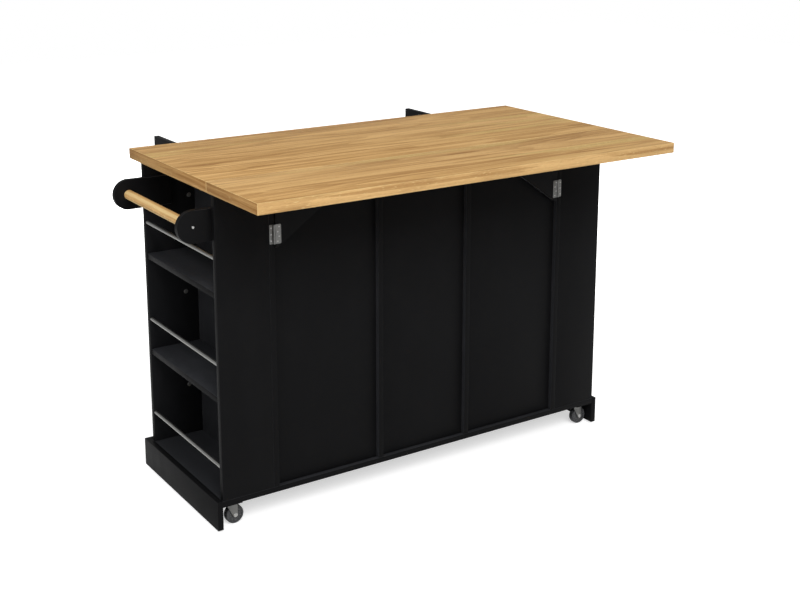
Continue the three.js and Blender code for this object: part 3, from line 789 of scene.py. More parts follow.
RECIPE_MAKERS = {
    "screw": lambda: driven_head("cross_screw", arms=2, sides=20),
    "cam": lambda: driven_head("cam_head", arms=1, sides=28),
    "balls": ball_ring,
    "rails": rail_rank,
}
RECIPES = {}


def recipe(name):
    """A node group by name, made when it is first asked for."""
    if name not in RECIPES:
        RECIPES[name] = RECIPE_MAKERS[name]()
    return RECIPES[name]


class Fixings:
    """Screws and cams, gathered by body and set in one piece for each."""

    def __init__(self):
        self.found = {}

    def add(self, kind, body, place, facing):
        self.found.setdefault((kind, body), []).append((tuple(place), tuple(facing)))

    def set(self):
        sizes = bpy.context.scene.island_metal
        looks = {
            "screw": ("screw", "screw_steel", sizes.screw_radius, 0.9 * MM),
            "big_screw": ("screw", "screw_steel", sizes.big_screw_radius, 1.6 * MM),
            "cam": ("cam", "cam_zinc", sizes.cam_radius, 0.8 * MM),
        }
        for (kind, body), places in self.found.items():
            head, material, radius, height = looks[kind]
            values = {"Radius": radius, "Height": height, "Material": finish(material)}
            points, facings = zip(*places)
            made = recipe(head).run(f"{kind}s_{body}", points, values, facings)
            on_frame(made, material, body, ())


FIXINGS = Fixings()


# ---- boards


PLAIN_BOARDS = [
    "back_panel_center",
    "plinth_front",
    *(
        f"{kind}_{end}"
        for kind in ("back_panel", "cupboard_shelf", "back_stile", "front_stile", "plinth")
        for end, _ in SIDES
    ),
    *(f"rack_shelf_{end}_{level}" for end, _ in SIDES for level in ("lower", "upper")),
]
# Painted light: boards whose names hold these words take a copy of the black that is paler on their inner
# faces.
LIT_FACE_LOOKS = {
    "shelf": "black_shelf",
    "front_stile": "black_front_stile",
    "back_stile": "black_back_stile",
}


def plain_boards():
    """Boards that are plain blocks. The shelves' tops and the stiles' inner faces take a paler black,
    which is painted light.
    """
    ease = bpy.context.scene.island_boards.ease
    for node in PLAIN_BOARDS:
        low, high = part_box(node)
        look = next((look for part, look in LIT_FACE_LOOKS.items() if part in node), "black_board")
        Shape().block(low, high, ease).piece(f"{node}_board", look, "cabinet", "black_board", node)


PEG = {"inset": 38 * MM, "flange": 4.2 * MM, "radius": 2.6 * MM, "tip": 2.1 * MM, "length": 9.2 * MM}


def shelf_pins():
    """Pegs in the partitions that the cupboard shelves lie on."""
    radius, reach = PEG["radius"], PEG["length"]
    profile = [
        (0.0, 0.1 * MM),
        (PEG["flange"], 0.1 * MM),
        (PEG["flange"], 1.1 * MM),
        (radius, 1.5 * MM),
        (radius, reach - 0.7 * MM),
        (PEG["tip"], reach),
        (0.0, reach),
    ]
    shape = Shape()
    for end, _ in SIDES:
        low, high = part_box(f"cupboard_shelf_{end}")
        for side, x in ((1, low.x), (-1, high.x)):
            for y in (low.y + PEG["inset"], high.y - PEG["inset"]):
                peg = laid((0, 1, 0), (0, 0, 1), (x - side * 0.3 * MM, y, low.z - radius - 0.1 * MM))
                shape.turned(profile, 18, peg @ turned_over(side < 0))
    shape.piece("shelf_pins", "pull_steel", "cabinet", "steel")


PAD = {"thickness": 4 * MM, "length": 56 * MM, "depth": 58 * MM, "inset": 3 * MM}


def cabinet_depth():
    """Where the cabinet's front and back lie in y."""
    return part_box("front_stile_right")[0].y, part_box("back_stile_right")[1].y


def bottom_board():
    """The board that carries the others, with a pad under each corner for a caster."""
    sizes = bpy.context.scene.island_boards
    low, high = board_box("bottom_board", low_z=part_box("bottom_board")[1].z - sizes.thickness)
    shape = Shape().block(low, high, sizes.ease)
    front, back = cabinet_depth()
    for _, side, depth in CORNERS:
        end = high.x if side > 0 else low.x
        xs = sorted((end, end - side * PAD["length"]))
        far = back - PAD["inset"] if depth > 0 else front + PAD["inset"]
        ys = sorted((far, far - depth * PAD["depth"]))
        foot, head = low.z - PAD["thickness"], low.z + 0.1 * MM
        shape.block((xs[0], ys[0], foot), (xs[1], ys[1], head), 0.4 * MM)
    # Painted light: the top face takes a paler black.
    shape.piece("bottom_board_slab", "black_bottom", "cabinet", "black_board", "bottom_board")


def partition_boards():
    """The uprights of the cupboards. Hinges and runners are pieces of their own."""
    sizes = bpy.context.scene.island_boards
    front, back = cabinet_depth()
    for end, side in SIDES:
        for kind in ("outer", "inner"):
            node = f"{kind}_partition_{end}"
            low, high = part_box(node)
            inside = (high.x if side > 0 else low.x) - side * sizes.thickness
            bound = {"low_x": inside} if side > 0 else {"high_x": inside}
            low, high = board_box(node, low_y=front, high_y=back, **bound)
            shape = Shape().block(low, high, sizes.ease)
            # Painted light: both faces of the upright take a paler black.
            shape.piece(f"{node}_board", "black_upright", "cabinet", "black_board", node)


# ---- worktop


def oak_tops():
    """The fixed top and the leaf, with a seam between."""
    sizes = bpy.context.scene.island_oak
    leaf_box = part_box("drop_leaf")
    top_box = board_box("worktop", low_z=leaf_box[0].z, high_y=leaf_box[0].y - sizes.seam)
    top = Shape().block(*top_box, sizes.ease, rounds=3)
    top.piece("worktop_board", "oak_top", "cabinet", "oak_top", "worktop")
    leaf = Shape().block(*leaf_box, sizes.ease, rounds=3)
    leaf.piece("leaf_board", "oak_top", "leaf", "oak_top", "drop_leaf")


# ---- hinges


BARREL_GAP = 0.3 * MM
LEAF_HINGE = {
    "length": 64 * MM,
    "barrel": 2.7 * MM,
    "width": 27 * MM,
    "plate": (1.7 * MM, 3.6 * MM),
    "screws": 1.65 * MM,
    "rows": 5,
}
WING_HINGE = {"length": 50 * MM, "barrel": 2.6 * MM, "width": 16 * MM, "proud": 0.6 * MM}
WING_EDGE = {"length": 50 * MM, "barrel": 2.6 * MM, "width": 9.8 * MM, "sheet": 1.2 * MM}
DOOR_HINGE = {
    "length": 60 * MM,
    "barrel": 2.8 * MM,
    "width": 12.5 * MM,
    "plate": (0.4 * MM, 1.5 * MM),
    "screws": 0.2 * MM,
    "rows": 3,
}


def hinge_half(shape, matrix, size, plate, barrels, pin=False):
    """One half of a butt hinge: the pin along z, and the plate along x between two faces in y."""
    half, barrel = size["length"] / 2, size["barrel"]
    start = barrel + BARREL_GAP
    stop = start + size["width"]
    corner = min(2.5 * MM, size["width"] / 4)
    corners = [(start, -half), (stop, -half), (stop, half), (start, half)]
    stand = Matrix(((1, 0, 0, 0), (0, 0, 1, 0), (0, 1, 0, 0), (0, 0, 0, 1)))
    outline = rounded(corners, (0.0, corner, corner, 0.0))
    shape.prism(outline, plate[0], plate[1], 0.2 * MM, matrix @ stand)
    for low, high in barrels:
        shape.block((0.0, plate[0], low), (start + 1 * MM, plate[1], high), 0.1 * MM, matrix)
        shape.rod(barrel, low, high, matrix, 20, 0.25 * MM)
    if pin:
        for end in (-1, 1):
            tip = matrix @ Matrix.Translation((0, 0, end * half)) @ turned_over(end < 0)
            shape.dome(barrel * 0.62, 0.0, 0.7 * MM, tip)


def knuckles(size):
    """The fixed half has both ends of the barrel, and the turning half its middle."""
    half, third, gap = size["length"] / 2, size["length"] / 6, 0.2 * MM
    return [(-half, -third - gap), (third + gap, half)], [(-third + gap, third - gap)]


def plate_screws(body, matrix, size, face, rows):
    """Screws in a zigzag over a plate, whose heads show at face in y."""
    start = size["barrel"] + BARREL_GAP
    side = 1 if face > 0 else -1
    normal = matrix.to_3x3() @ Vector((0, side, 0))
    for i in range(rows):
        z = (i - (rows - 1) / 2) * size["length"] / rows
        x = start + size["width"] * (0.36 if i % 2 else 0.64)
        FIXINGS.add("screw", body, matrix @ Vector((x, face, z)), normal)


def even_hinge(size, fixed, still, turning, swung, body):
    """A hinge whose halves are alike, with its screws: one half on the cabinet, the other on a body."""
    fixed_barrels, turning_barrels = knuckles(size)
    hinge_half(fixed, still, size, size["plate"], fixed_barrels, pin=True)
    plate_screws("cabinet", still, size, size["screws"], size["rows"])
    hinge_half(turning, swung, size, size["plate"], turning_barrels)
    plate_screws(body, swung, size, size["screws"], size["rows"])


def leaf_hinges():
    """Three hinges under the seam, their fixed halves in one piece and a turning half for each."""
    pin = Vector(JOINTS["leaf_drop"]["pos_m"])
    fixed = Shape()
    for number in (1, 2, 3):
        node = f"leaf_hinge_{number}"
        low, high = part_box(node)
        origin = ((low.x + high.x) / 2, pin.y, pin.z)
        still, swung = (laid((0, way, 0), (0, 0, 1), origin) for way in (-1, 1))
        turning = Shape()
        even_hinge(LEAF_HINGE, fixed, still, turning, swung, "leaf")
        turning.piece(f"leaf_hinge_plate_{number}", "hinge_steel", "leaf", "steel", node)
    fixed.piece("leaf_hinges_fixed", "hinge_steel", "cabinet", "steel")


WING = {
    "thickness": 12 * MM,
    "length": 234 * MM,
    "root": 165 * MM,
    "foot": 8 * MM,
    "tip": 6 * MM,
    "clear": 4 * MM,
    "sunk": 0.6 * MM,
    "low_hinge": 10 * MM,
    "high_hinge": 11 * MM,
    "backing": 1.2 * MM,
}


def wing_levels(head):
    """The middles of a wing's two hinges in z."""
    half = WING_HINGE["length"] / 2
    return head - WING["root"] + WING["low_hinge"] + half, head - WING["high_hinge"] - half


def wings():
    """Each wing folds flat against the back, its root at its pin, and swings out under the leaf."""
    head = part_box("back_stile_right")[1].z
    back = cabinet_depth()[1]
    fixed_barrels, turning_barrels = knuckles(WING_HINGE)
    near, tip, foot = WING["clear"], WING["clear"] + WING["length"], head - WING["root"]
    sloped = [(near + WING["foot"], foot), (tip, head - WING["tip"])]
    radii = (1.5 * MM, 6 * MM, 3 * MM, 1.5 * MM, 1.5 * MM)
    outline = rounded([(near, foot), *sloped, (tip, head), (near, head)], radii)
    for end, side in SIDES:
        body = f"wing_{end}_arm"
        pin = Vector(JOINTS[f"wing_{end}_swing"]["pos_m"])
        # x runs from the pin to the tip, y is up, and z is out of the back on the right side only
        face = laid((-side, 0, 0), (0, 0, 1), (pin.x, pin.y - WING["sunk"], 0))
        low, high = (-WING["thickness"], 0.0) if side > 0 else (0.0, WING["thickness"])
        shape = Shape().prism(outline, low, high, 0.9 * MM, face)
        shape.piece(f"wing_{end}_board", "black_board", body, "black_board", f"wing_{end}")

        fixed, turning = Shape(), Shape()
        wood = back - pin.y
        edge = wood + WING_EDGE["sheet"]
        for level in wing_levels(head):
            origin = (pin.x, pin.y, level)
            still = laid((side, 0, 0), (0, 1, 0), origin)
            hinge_half(fixed, still, WING_EDGE, (wood, edge), fixed_barrels, pin=True)
            edge_screws(still, edge)
            swung = laid((-side, 0, 0), (0, 1, 0), origin)
            plate = (-WING["sunk"], WING_HINGE["proud"])
            hinge_half(turning, swung, WING_HINGE, plate, turning_barrels)
            plate_screws(body, swung, WING_HINGE, plate[1], 4)
            backing_plate(turning, body, pin, side, level)
        fixed.piece(f"wing_hinges_fixed_{end}", "hinge_steel", "cabinet", "steel")
        turning.piece(f"wing_hinges_{end}", "hinge_steel", body, "steel")


def edge_screws(matrix, face):
    """Screws in a row up a wing hinge's fixed plate."""
    for i in (-1, 0, 1):
        z = i * WING_EDGE["length"] / 3
        x = WING_EDGE["barrel"] + BARREL_GAP + WING_EDGE["width"] * 0.55
        facing = matrix.to_3x3() @ Vector((0, 1, 0))
        FIXINGS.add("screw", "cabinet", matrix @ Vector((x, face, z)), facing)


def backing_plate(shape, body, pin, side, level):
    """A plate on the wing's inner face, which the screws pull against."""
    tall = WING_HINGE["length"]
    near = pin.x - side * (WING_HINGE["barrel"] + BARREL_GAP + WING["clear"])
    far = near - side * WING_HINGE["width"]
    face = pin.y - WING["sunk"] - WING["thickness"]
    outer = face - WING["backing"]
    low = (min(near, far), outer, level - tall / 2)
    high = (max(near, far), face + 0.2 * MM, level + tall / 2)
    shape.block(low, high, 0.3 * MM)
    for z in (-0.3, 0.3):
        FIXINGS.add("screw", body, ((near + far) / 2, outer, level + z * tall), (0, -1, 0))


# ---- pulls and doors


PULL = {"radius": 5 * MM, "standoff": 28 * MM, "post": 4 * MM}


def pull(shape, matrix, length, posts):
    """A round bar with domed ends along x, on two posts with flanged feet on the face at y = 0."""
    lie = matrix @ Matrix.Translation((0, -PULL["standoff"], 0)) @ Matrix.Rotation(math.pi / 2, 4, "Y")
    half = length / 2
    radius, crown = PULL["radius"], 1.6 * MM
    arc = [(radius * math.cos(a), half - crown + crown * math.sin(a)) for a in (0.0, 0.45, 0.9, 1.25)]
    lower = [(r, -z) for r, z in reversed(arc)]
    shape.turned([(0.0, -half), *lower, *arc, (0.0, half)], 28, lie)
    out = Matrix.Rotation(math.pi / 2, 4, "X")
    for x in (-posts / 2, posts / 2):
        foot = matrix @ Matrix.Translation((x, 0, 0)) @ out
        post = PULL["post"]
        reach = PULL["standoff"] - radius * 0.7
        profile = [
            (0.0, 0.3 * MM),
            (post + 1.2 * MM, 0.3 * MM),
            (post + 1.2 * MM, 1.1 * MM),
            (post + 0.8 * MM, 1.6 * MM),
            (post, 2.4 * MM),
            (post * 0.86, reach * 0.5),
            (post, reach),
            (0.0, reach),
        ]
        shape.turned(profile, 24, foot)
    return shape


DOOR = {"reveal": 1.5 * MM, "pull": 200 * MM, "posts": 128 * MM, "hinge": 110 * MM}


def doors():
    """Doors that stand open at a right angle, with their hinges and pulls."""
    sizes = bpy.context.scene.island_boards
    for end, side in SIDES:
        node, body = f"door_{end}", f"door_{end}_leaf"
        pin = Vector(JOINTS[f"door_{end}_swing"]["pos_m"])
        low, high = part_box(node)
        bound = {"high_x": low.x + sizes.thickness} if side > 0 else {"low_x": high.x - sizes.thickness}
        low, high = board_box(node, high_y=pin.y - DOOR["reveal"], **bound)
        board = Shape().block(low, high, sizes.ease)
        board.piece(f"{node}_board", "black_board", body, "black_board", node)

        fixed, turning = Shape(), Shape()
        for level in (low.z + DOOR["hinge"], high.z - DOOR["hinge"]):
            origin = (pin.x, pin.y, level)
            still = laid((0, 1, 0), (side, 0, 0), origin)
            swung = laid((-side, 0, 0), (0, -1, 0), origin)
            even_hinge(DOOR_HINGE, fixed, still, turning, swung, body)
        fixed.piece(f"door_hinges_fixed_{end}", "hinge_steel", "cabinet", "steel")
        turning.piece(f"door_hinges_{end}", "hinge_steel", body, "steel")

        grip_low, grip_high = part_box(f"door_pull_{end}")
        face = high.x if side > 0 else low.x
        middle = Vector((face, (grip_low.y + grip_high.y) / 2, (grip_low.z + grip_high.z) / 2))
        matrix = laid((0, 0, 1), (-side, 0, 0), middle)
        grip = pull(Shape(), matrix, DOOR["pull"], DOOR["posts"])
        grip.piece(f"door_pull_{end}_bar", "pull_steel", body, "steel", f"door_pull_{end}")


# ---- drawers


DRAWER = {"wall": 12 * MM, "beside": 11 * MM, "groove": 4 * MM, "pull": 150 * MM, "posts": 96 * MM}
RUNNER = {"base": 60 * MM, "rise": 18 * MM, "room": 13 * MM}


def drawers():
    """Three drawers, each a front with a pull on a box that slides on runners."""
    sizes = bpy.context.scene.island_boards
    for number in (1, 2, 3):
        body = f"drawer_{number}"
        low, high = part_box(f"drawer_front_{number}")
        front = Shape().block(low, high, sizes.ease)
        node = f"drawer_front_{number}"
        front.piece(f"drawer_face_{number}", "black_board", body, "black_board", node)
        box_low, box_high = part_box(f"drawer_box_{number}")
        drawer_box(number, body, box_low, box_high)
        middle = ((low.x + high.x) / 2, low.y, (low.z + high.z) / 2)
        grip = pull(Shape(), Matrix.Translation(middle), DRAWER["pull"], DRAWER["posts"])
        grip.piece(f"drawer_pull_{number}_bar", "pull_steel", body, "steel", f"drawer_pull_{number}")
        runners(number, body, box_low, box_high)


def drawer_box(number, body, low, high):
    """Four sides, the front and back between the long ones, and a bottom let into them."""
    wall, groove, ease = DRAWER["wall"], DRAWER["groove"], 0.6 * MM
    left, right = low.x + DRAWER["beside"], high.x - DRAWER["beside"]
    start, stop = left + wall, right - wall
    shape = Shape()
    shape.block((left, low.y, low.z), (start, high.y, high.z), ease)
    shape.block((stop, low.y, low.z), (right, high.y, high.z), ease)
    shape.block((start, low.y, low.z), (stop, low.y + wall, high.z), ease)
    shape.block((start, high.y - wall, low.z), (stop, high.y, high.z), ease)
    floor_low = (start - groove, low.y + 6 * MM, low.z + 1 * MM)
    floor_high = (stop + groove, high.y - 6 * MM, low.z + 6 * MM)
    shape.block(floor_low, floor_high, 0)
    shape.piece(f"drawer_shell_{number}", "black_board", body, "black_board", f"drawer_box_{number}")


def runners(number, body, low, high):
    """A channel on each partition, with a lipped rail on the drawer's side that slides in it."""
    base = low.z + RUNNER["base"]
    top = base + RUNNER["rise"]
    rails, channels = Shape(), Shape()
    for side, edge in ((-1, low.x), (1, high.x)):
        wood = edge - side * DRAWER["beside"]
        wall = wood + side * RUNNER["room"]
        strips = [
            # shape, start and reach in x, and foot and head in z
            (rails, wood, 1.2 * MM, base + 2.2 * MM, top - 5.2 * MM),
            (rails, wood + side * 1 * MM, 9 * MM, base + 5 * MM, base + 6.2 * MM),
            (rails, wood + side * 1 * MM, 9 * MM, base + 8.4 * MM, base + 9.6 * MM),
            (channels, wall, -1.4 * MM, base - 1.4 * MM, top - 1.5 * MM),
            (channels, wall, -11.8 * MM, base - 1.4 * MM, base),
            (channels, wall, -11.8 * MM, top - 2.9 * MM, top - 1.5 * MM),
        ]
        for shape, start, reach, foot, head in strips:
            xs = sorted((start, start + side * reach))
            shape.block((xs[0], low.y, foot), (xs[1], high.y, head), 0.2 * MM)
    rails.piece(f"runner_rails_{number}", "zinc_sheet", body, "zinc")
    channels.piece(f"runner_channels_{number}", "zinc_sheet", "cabinet", "zinc")


# ---- racks and towel bar


def rack_rails():
    """Rails across the tiers, their ends let into the stiles."""
    for end, _ in SIDES:
        nodes = [f"rack_rail_{end}_{tier}" for tier in (1, 2, 3)]
        boxes = [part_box(node) for node in nodes]
        points = [(low + high) / 2 for low, high in boxes]
        size = boxes[0][1] - boxes[0][0]
        values = {"Radius": size.x / 2, "Length": size.y, "Material": finish("brushed_rail")}
        made = recipe("rails").run(f"rack_rails_{end}", points, values)
        made.data.polygons.foreach_set("use_smooth", [True] * len(made.data.polygons))
        made.data.set_sharp_from_angle(angle=math.radians(40))
        on_frame(made, "brushed_rail", "cabinet", nodes)


CAM = {"inset": 36 * MM, "top_inset": 17 * MM, "drop": 112 * MM}


def rack_cams():
    """Cam fittings on the inner faces of the stiles, where the shelves are drawn tight."""
    for end, side in SIDES:
        rack_low, rack_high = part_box(f"front_stile_{end}")
        near = rack_low.x if side > 0 else rack_high.x
        shelves = [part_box(f"rack_shelf_{end}_{level}")[0].z for level in ("lower", "upper")]
        ceilings = [(z, CAM["inset"]) for z in shelves] + [(rack_high.z, CAM["top_inset"])]
        for ceiling, inset in ceilings:
            for face, depth in (("front", 1), ("back", -1)):
                stile_low, stile_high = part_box(f"{face}_stile_{end}")
                y = stile_high.y if depth > 0 else stile_low.y
                place = (near + side * inset, y, ceiling - CAM["drop"])
                FIXINGS.add("cam", "cabinet", place, (0, depth, 0))


def towel_rack():
    """An oak bar between two brackets with round ends, screwed inside the rack."""
    bar_low, bar_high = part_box("towel_bar")
    centre = (bar_low + bar_high) / 2
    radius = (bar_high.x - bar_low.x) / 2
    half = (bar_high.y - bar_low.y) / 2
    along_y = laid((1, 0, 0), (0, 0, -1), centre)
    bar = Shape().rod(radius, -half, half, along_y, 40, 1.2 * MM)
    bar.piece("towel_bar_dowel", "oak_bar", "cabinet", "oak_bar", "towel_bar")
    turns = [math.radians(-90 + 180 * i / 24) for i in range(25)]
    for name, depth in (("back", 1), ("front", -1)):
        node = f"towel_bracket_{name}"
        low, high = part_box(node)
        round_ = (high.z - low.z) / 2
        x = high.x - round_
        nose = [(x + round_ * math.cos(t), round_ * math.sin(t)) for t in turns]
        outline = [(low.x, -round_), *nose, (low.x, round_)]
        stand = laid((1, 0, 0), (0, 0, 1), (0, 0, (low.z + high.z) / 2))
        shape = Shape().prism(outline, -high.y, -low.y, 2.2 * MM, stand, 3)
        shape.piece(f"{node}_ear", "black_ear", "cabinet", "black_board", node)
        outer = high.y if depth > 0 else low.y
        FIXINGS.add("big_screw", "cabinet", (centre.x, outer, centre.z), (0, depth, 0))


# ---- casters


def casters():
    """Swivel casters: plate with screws, ball race, bent fork, axle with its nut, dished wheel."""
    sizes = bpy.context.scene.island_casters
    board = bpy.context.scene.island_boards.thickness
    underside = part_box("bottom_board")[1].z - board - PAD["thickness"]
    for name, _, _ in CORNERS:
        swivel = Vector(JOINTS[f"swivel_{name}_turn"]["pos_m"])
        axle = Vector(JOINTS[f"wheel_{name}_spin"]["pos_m"])
        caster_mount(name, swivel, underside)
        caster_fork(name, swivel, axle, sizes)
        caster_wheel(name, axle, sizes)


MOUNT = {"half": 21 * MM, "sheet": 2.5 * MM, "corner": 5 * MM, "screw": 17 * MM}


def caster_mount(name, swivel, underside):
    """The plate under a pad with four screws, the race's cup, and the rivet that holds the fork."""
    half, low = MOUNT["half"], underside - MOUNT["sheet"]
    at = Matrix.Translation((swivel.x, swivel.y, 0))
    corners = [(-half, -half), (half, -half), (half, half), (-half, half)]
    shape = Shape().prism(rounded(corners, (MOUNT["corner"],) * 4), low, underside, 0.5 * MM, at)
    race = [
        (0.0, low - 2.6 * MM),
        (13 * MM, low - 2.6 * MM),
        (15 * MM, low - 1.4 * MM),
        (15.6 * MM, low + 0.4 * MM),
        (0.0, low + 0.4 * MM),
    ]
    shape.turned(race, 32, at)
    rivet = low - 5.2 * MM
    shape.rod(4 * MM, rivet - 1 * MM, low, at, 20)
    shape.dome(7 * MM, 0.0, 1.5 * MM, at @ Matrix.Translation((0, 0, rivet)) @ turned_over(True))
    shape.piece(f"caster_mount_{name}", "zinc_sheet", "cabinet", "zinc")
    for dx in (-MOUNT["screw"], MOUNT["screw"]):
        for dy in (-MOUNT["screw"], MOUNT["screw"]):
            FIXINGS.add("screw", "cabinet", (swivel.x + dx, swivel.y + dy, low), (0, 0, -1))


FORK = {
    "sheet": 2 * MM,
    "gap": 1.2 * MM,
    "crown": 14 * MM,
    "eye": 6.5 * MM,
    "bend": 3.2 * MM,
    "drop": 7 * MM,
}


def caster_fork(name, swivel, axle, sizes):
    """A bent sheet: a crown with rounded shoulders, and two cheeks that narrow to the axle's eye."""
    node = f"caster_fork_{name}"
    body = f"swivel_{name}"
    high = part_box(node)[1]
    cheek = sizes.width / 2 + FORK["gap"]
    outside = cheek + FORK["sheet"]
    crown, eye, bend = FORK["crown"], FORK["eye"], FORK["bend"]
    # The section runs down one cheek, over the crown and down the other, drawn as one bent sheet
    arc = [math.radians(90 * i / 5) for i in range(6)]
    over, under = (
        [(outside - bend + radius * math.cos(a), high.z - bend + radius * math.sin(a)) for a in arc]
        for radius in (bend, bend - FORK["sheet"])
    )
    base = high.z - FORK["drop"]
    section = [(outside, base), *over, *((-y, z) for y, z in over[::-1]), (-outside, base)]
    section += [(-cheek, base), *((-y, z) for y, z in under), *under[::-1], (cheek, base)]
    run = laid((0, 1, 0), (0, 0, 1), (swivel.x, swivel.y, 0))
    shape = Shape().prism(section, -crown, crown, 0.25 * MM, run)
    # Each cheek runs from the crown round the eye and back
    trail = axle.x - swivel.x
    turns = [math.radians(-14 - 152 * i / 14) for i in range(15)]
    below = [(trail + eye * math.cos(t), axle.z + eye * math.sin(t)) for t in turns]
    outline = [(crown, base + 0.4 * MM), *below, (-crown, base + 0.4 * MM)]
    stand = laid((1, 0, 0), (0, 0, 1), (swivel.x, swivel.y, 0))
    for near, far in ((cheek, outside), (-outside, -cheek)):
        shape.prism(outline[::-1], near, far, 0.3 * MM, stand)
    shape.piece(f"caster_bracket_{name}", "zinc_sheet", body, "zinc", node)
    caster_axle(name, axle, outside)
    place = (swivel.x, swivel.y, high.z + 0.5 * MM)
    values = {"Balls": sizes.balls, "Ring": 12.6 * MM, "Ball": 1.3 * MM}
    values["Material"] = finish("screw_steel")
    balls = recipe("balls").run(f"caster_balls_{name}", [place], values)
    on_frame(balls, "screw_steel", body, ())


def caster_axle(name, axle, outside):
    """A bright axle through the fork, with a domed head on one cheek and a nut on the other."""
    across = laid((1, 0, 0), (0, 0, -1), (axle.x, axle.y, axle.z))
    shape = Shape().rod(3 * MM, -outside - 0.4 * MM, outside + 0.4 * MM, across, 20)
    for side in (-1, 1):
        head = across @ Matrix.Translation((0, 0, side * outside)) @ turned_over(side < 0)
        shape.turned([(0.0, 0.0), (5.4 * MM, 0.0), (5.4 * MM, 0.4 * MM), (0.0, 0.4 * MM)], 24, head)
        if side > 0:
            shape.dome(4.2 * MM, 0.3 * MM, 1.5 * MM, head, 24)
        else:
            turns = [math.pi / 3 * i for i in range(6)]
            nut = [(4.4 * MM * math.cos(t), 4.4 * MM * math.sin(t)) for t in turns]
            shape.prism(nut, 0.3 * MM, 1.5 * MM, 0.3 * MM, head)
    shape.piece(f"caster_axle_{name}", "screw_steel", f"swivel_{name}", "steel")


def caster_wheel(name, axle, sizes):
    """A wheel with a hub, a dished web with a raised ring, and a rounded tread."""
    half, radius = sizes.width / 2, sizes.radius
    web = half - 2.5 * MM
    side = [
        (3.3 * MM, half),
        (7.6 * MM, half),
        (8.4 * MM, half - 0.5 * MM),
        (9.2 * MM, web),
        (12.4 * MM, web),
        (12.9 * MM, web + 0.5 * MM),
        (13.7 * MM, web + 0.5 * MM),
        (14.2 * MM, web),
        (radius - 6.2 * MM, web),
        (radius - 5.4 * MM, half - 0.4 * MM),
        (radius - 4.6 * MM, half),
        (radius - 3 * MM, half - 0.15 * MM),
        (radius - 1.3 * MM, half - 0.9 * MM),
        (radius - 0.4 * MM, half - 2.1 * MM),
        (radius, half - 3.8 * MM),
    ]
    profile = side + [(r, -y) for r, y in reversed(side)]
    across = laid((1, 0, 0), (0, 0, -1), (axle.x, axle.y, axle.z))
    shape = Shape().turned(profile, 56, across)
    node = f"caster_wheel_{name}"
    shape.piece(f"wheel_{name}_disc", "grey_wheel", f"wheel_{name}", "grey_tyre", node, sharp=40)


# ---- stage


PHOTO = (800.0, 600.0)
# The camera fitted to the photograph, with the column and row that it looks at
EYE = {
    "place": (1.858, 2.9862, 1.5964),
    "yaw": 0.58032,
    "pitch": 0.22238,
    "column": 396.5,
    "row": 180.0,
}


def stage():
    """The floor, the sky, the lamps and the camera."""
    scene = bpy.context.scene
    sizes = scene.island_stage
    scene.view_settings.view_transform = "Standard"
    floor(sizes.floor)
    world(scene)
    lamps()
    camera(scene, sizes.lens)


def floor(half):
    """A pale floor that is nearly as white as the sky behind it."""
    data = bpy.data.meshes.new("floor")
    corners = [(-half, -half, 0), (half, -half, 0), (half, half, 0), (-half, half, 0)]
    data.from_pydata(corners, [], [(0, 1, 2, 3)])
    plane = bpy.data.objects.new("floor", data)
    bpy.context.scene.collection.objects.link(plane)
    paint = Finish("pale_floor", {"Roughness": 0.9, "Specular IOR Level": 0.1})
    soft = paint.noise(paint.place, 2.0, 0.5, 3.0)
    paint.set("Base Color", paint.mix(soft, (0.68, 0.68, 0.68), (0.72, 0.72, 0.72)))
    seen = paint.node("ShaderNodeLightPath").out("Is Camera Ray")
    # The floor glows to white away from the island, so that only the shadow under it shows
    distance = paint.node("ShaderNodeVectorMath", {"operation": "LENGTH"}, {0: paint.place}).out("Value")
    away = paint.step(distance, 0.7, 2.4)
    paint.set("Emission Color", (1.0, 1.0, 1.0))
    paint.set("Emission Strength", seen * (0.6 + away * 0.4))
    data.materials.append(paint.material)


def world(scene):
    """A white sky to the camera, and a dimmer one as a lamp."""
    sky = bpy.data.worlds.new("studio")
    sky.use_nodes = True
    scene.world = sky
    tree = Tree(sky.node_tree)
    background = sky.node_tree.nodes["Background"]
    tree.feed(background.inputs["Color"], (1.0, 1.0, 1.0))
    camera_ray = tree.node("ShaderNodeLightPath").out("Is Camera Ray")
    tree.feed(background.inputs["Strength"], 0.34 + camera_ray * 0.66)


LAMPS = {
    # place, target, power in watts, width, height, and whether it shows in gloss
    "key": ((1.2, 5.5, 5.3), (0.0, 0.0, 0.5), 405.0, 4.3, 3.3, True),
    "side": ((3.1, 0.9, 2.6), (0.4, 0.0, 0.4), 46.0, 1.8, 1.4, True),
    "front": ((-1.4, -4.2, 1.2), (0.0, -0.2, 0.5), 170.0, 2.8, 1.4, False),
    "far": ((-3.6, -0.9, 1.2), (0.0, 0.0, 0.4), 50.0, 2.0, 1.4, False),
}


def lamps():
    """Area lamps, each turned to its target."""
    for name, (place, target, power, width, height, gloss) in LAMPS.items():
        light = bpy.data.lights.new(name, "AREA")
        light.shape = "RECTANGLE"
        light.size, light.size_y, light.energy = width, height, power
        lamp = bpy.data.objects.new(name, light)
        lamp.location = place
        lamp.visible_glossy = gloss
        lamp.rotation_mode = "QUATERNION"
        lamp.rotation_quaternion = (Vector(target) - Vector(place)).to_track_quat("-Z", "Y")
        bpy.context.scene.collection.objects.link(lamp)


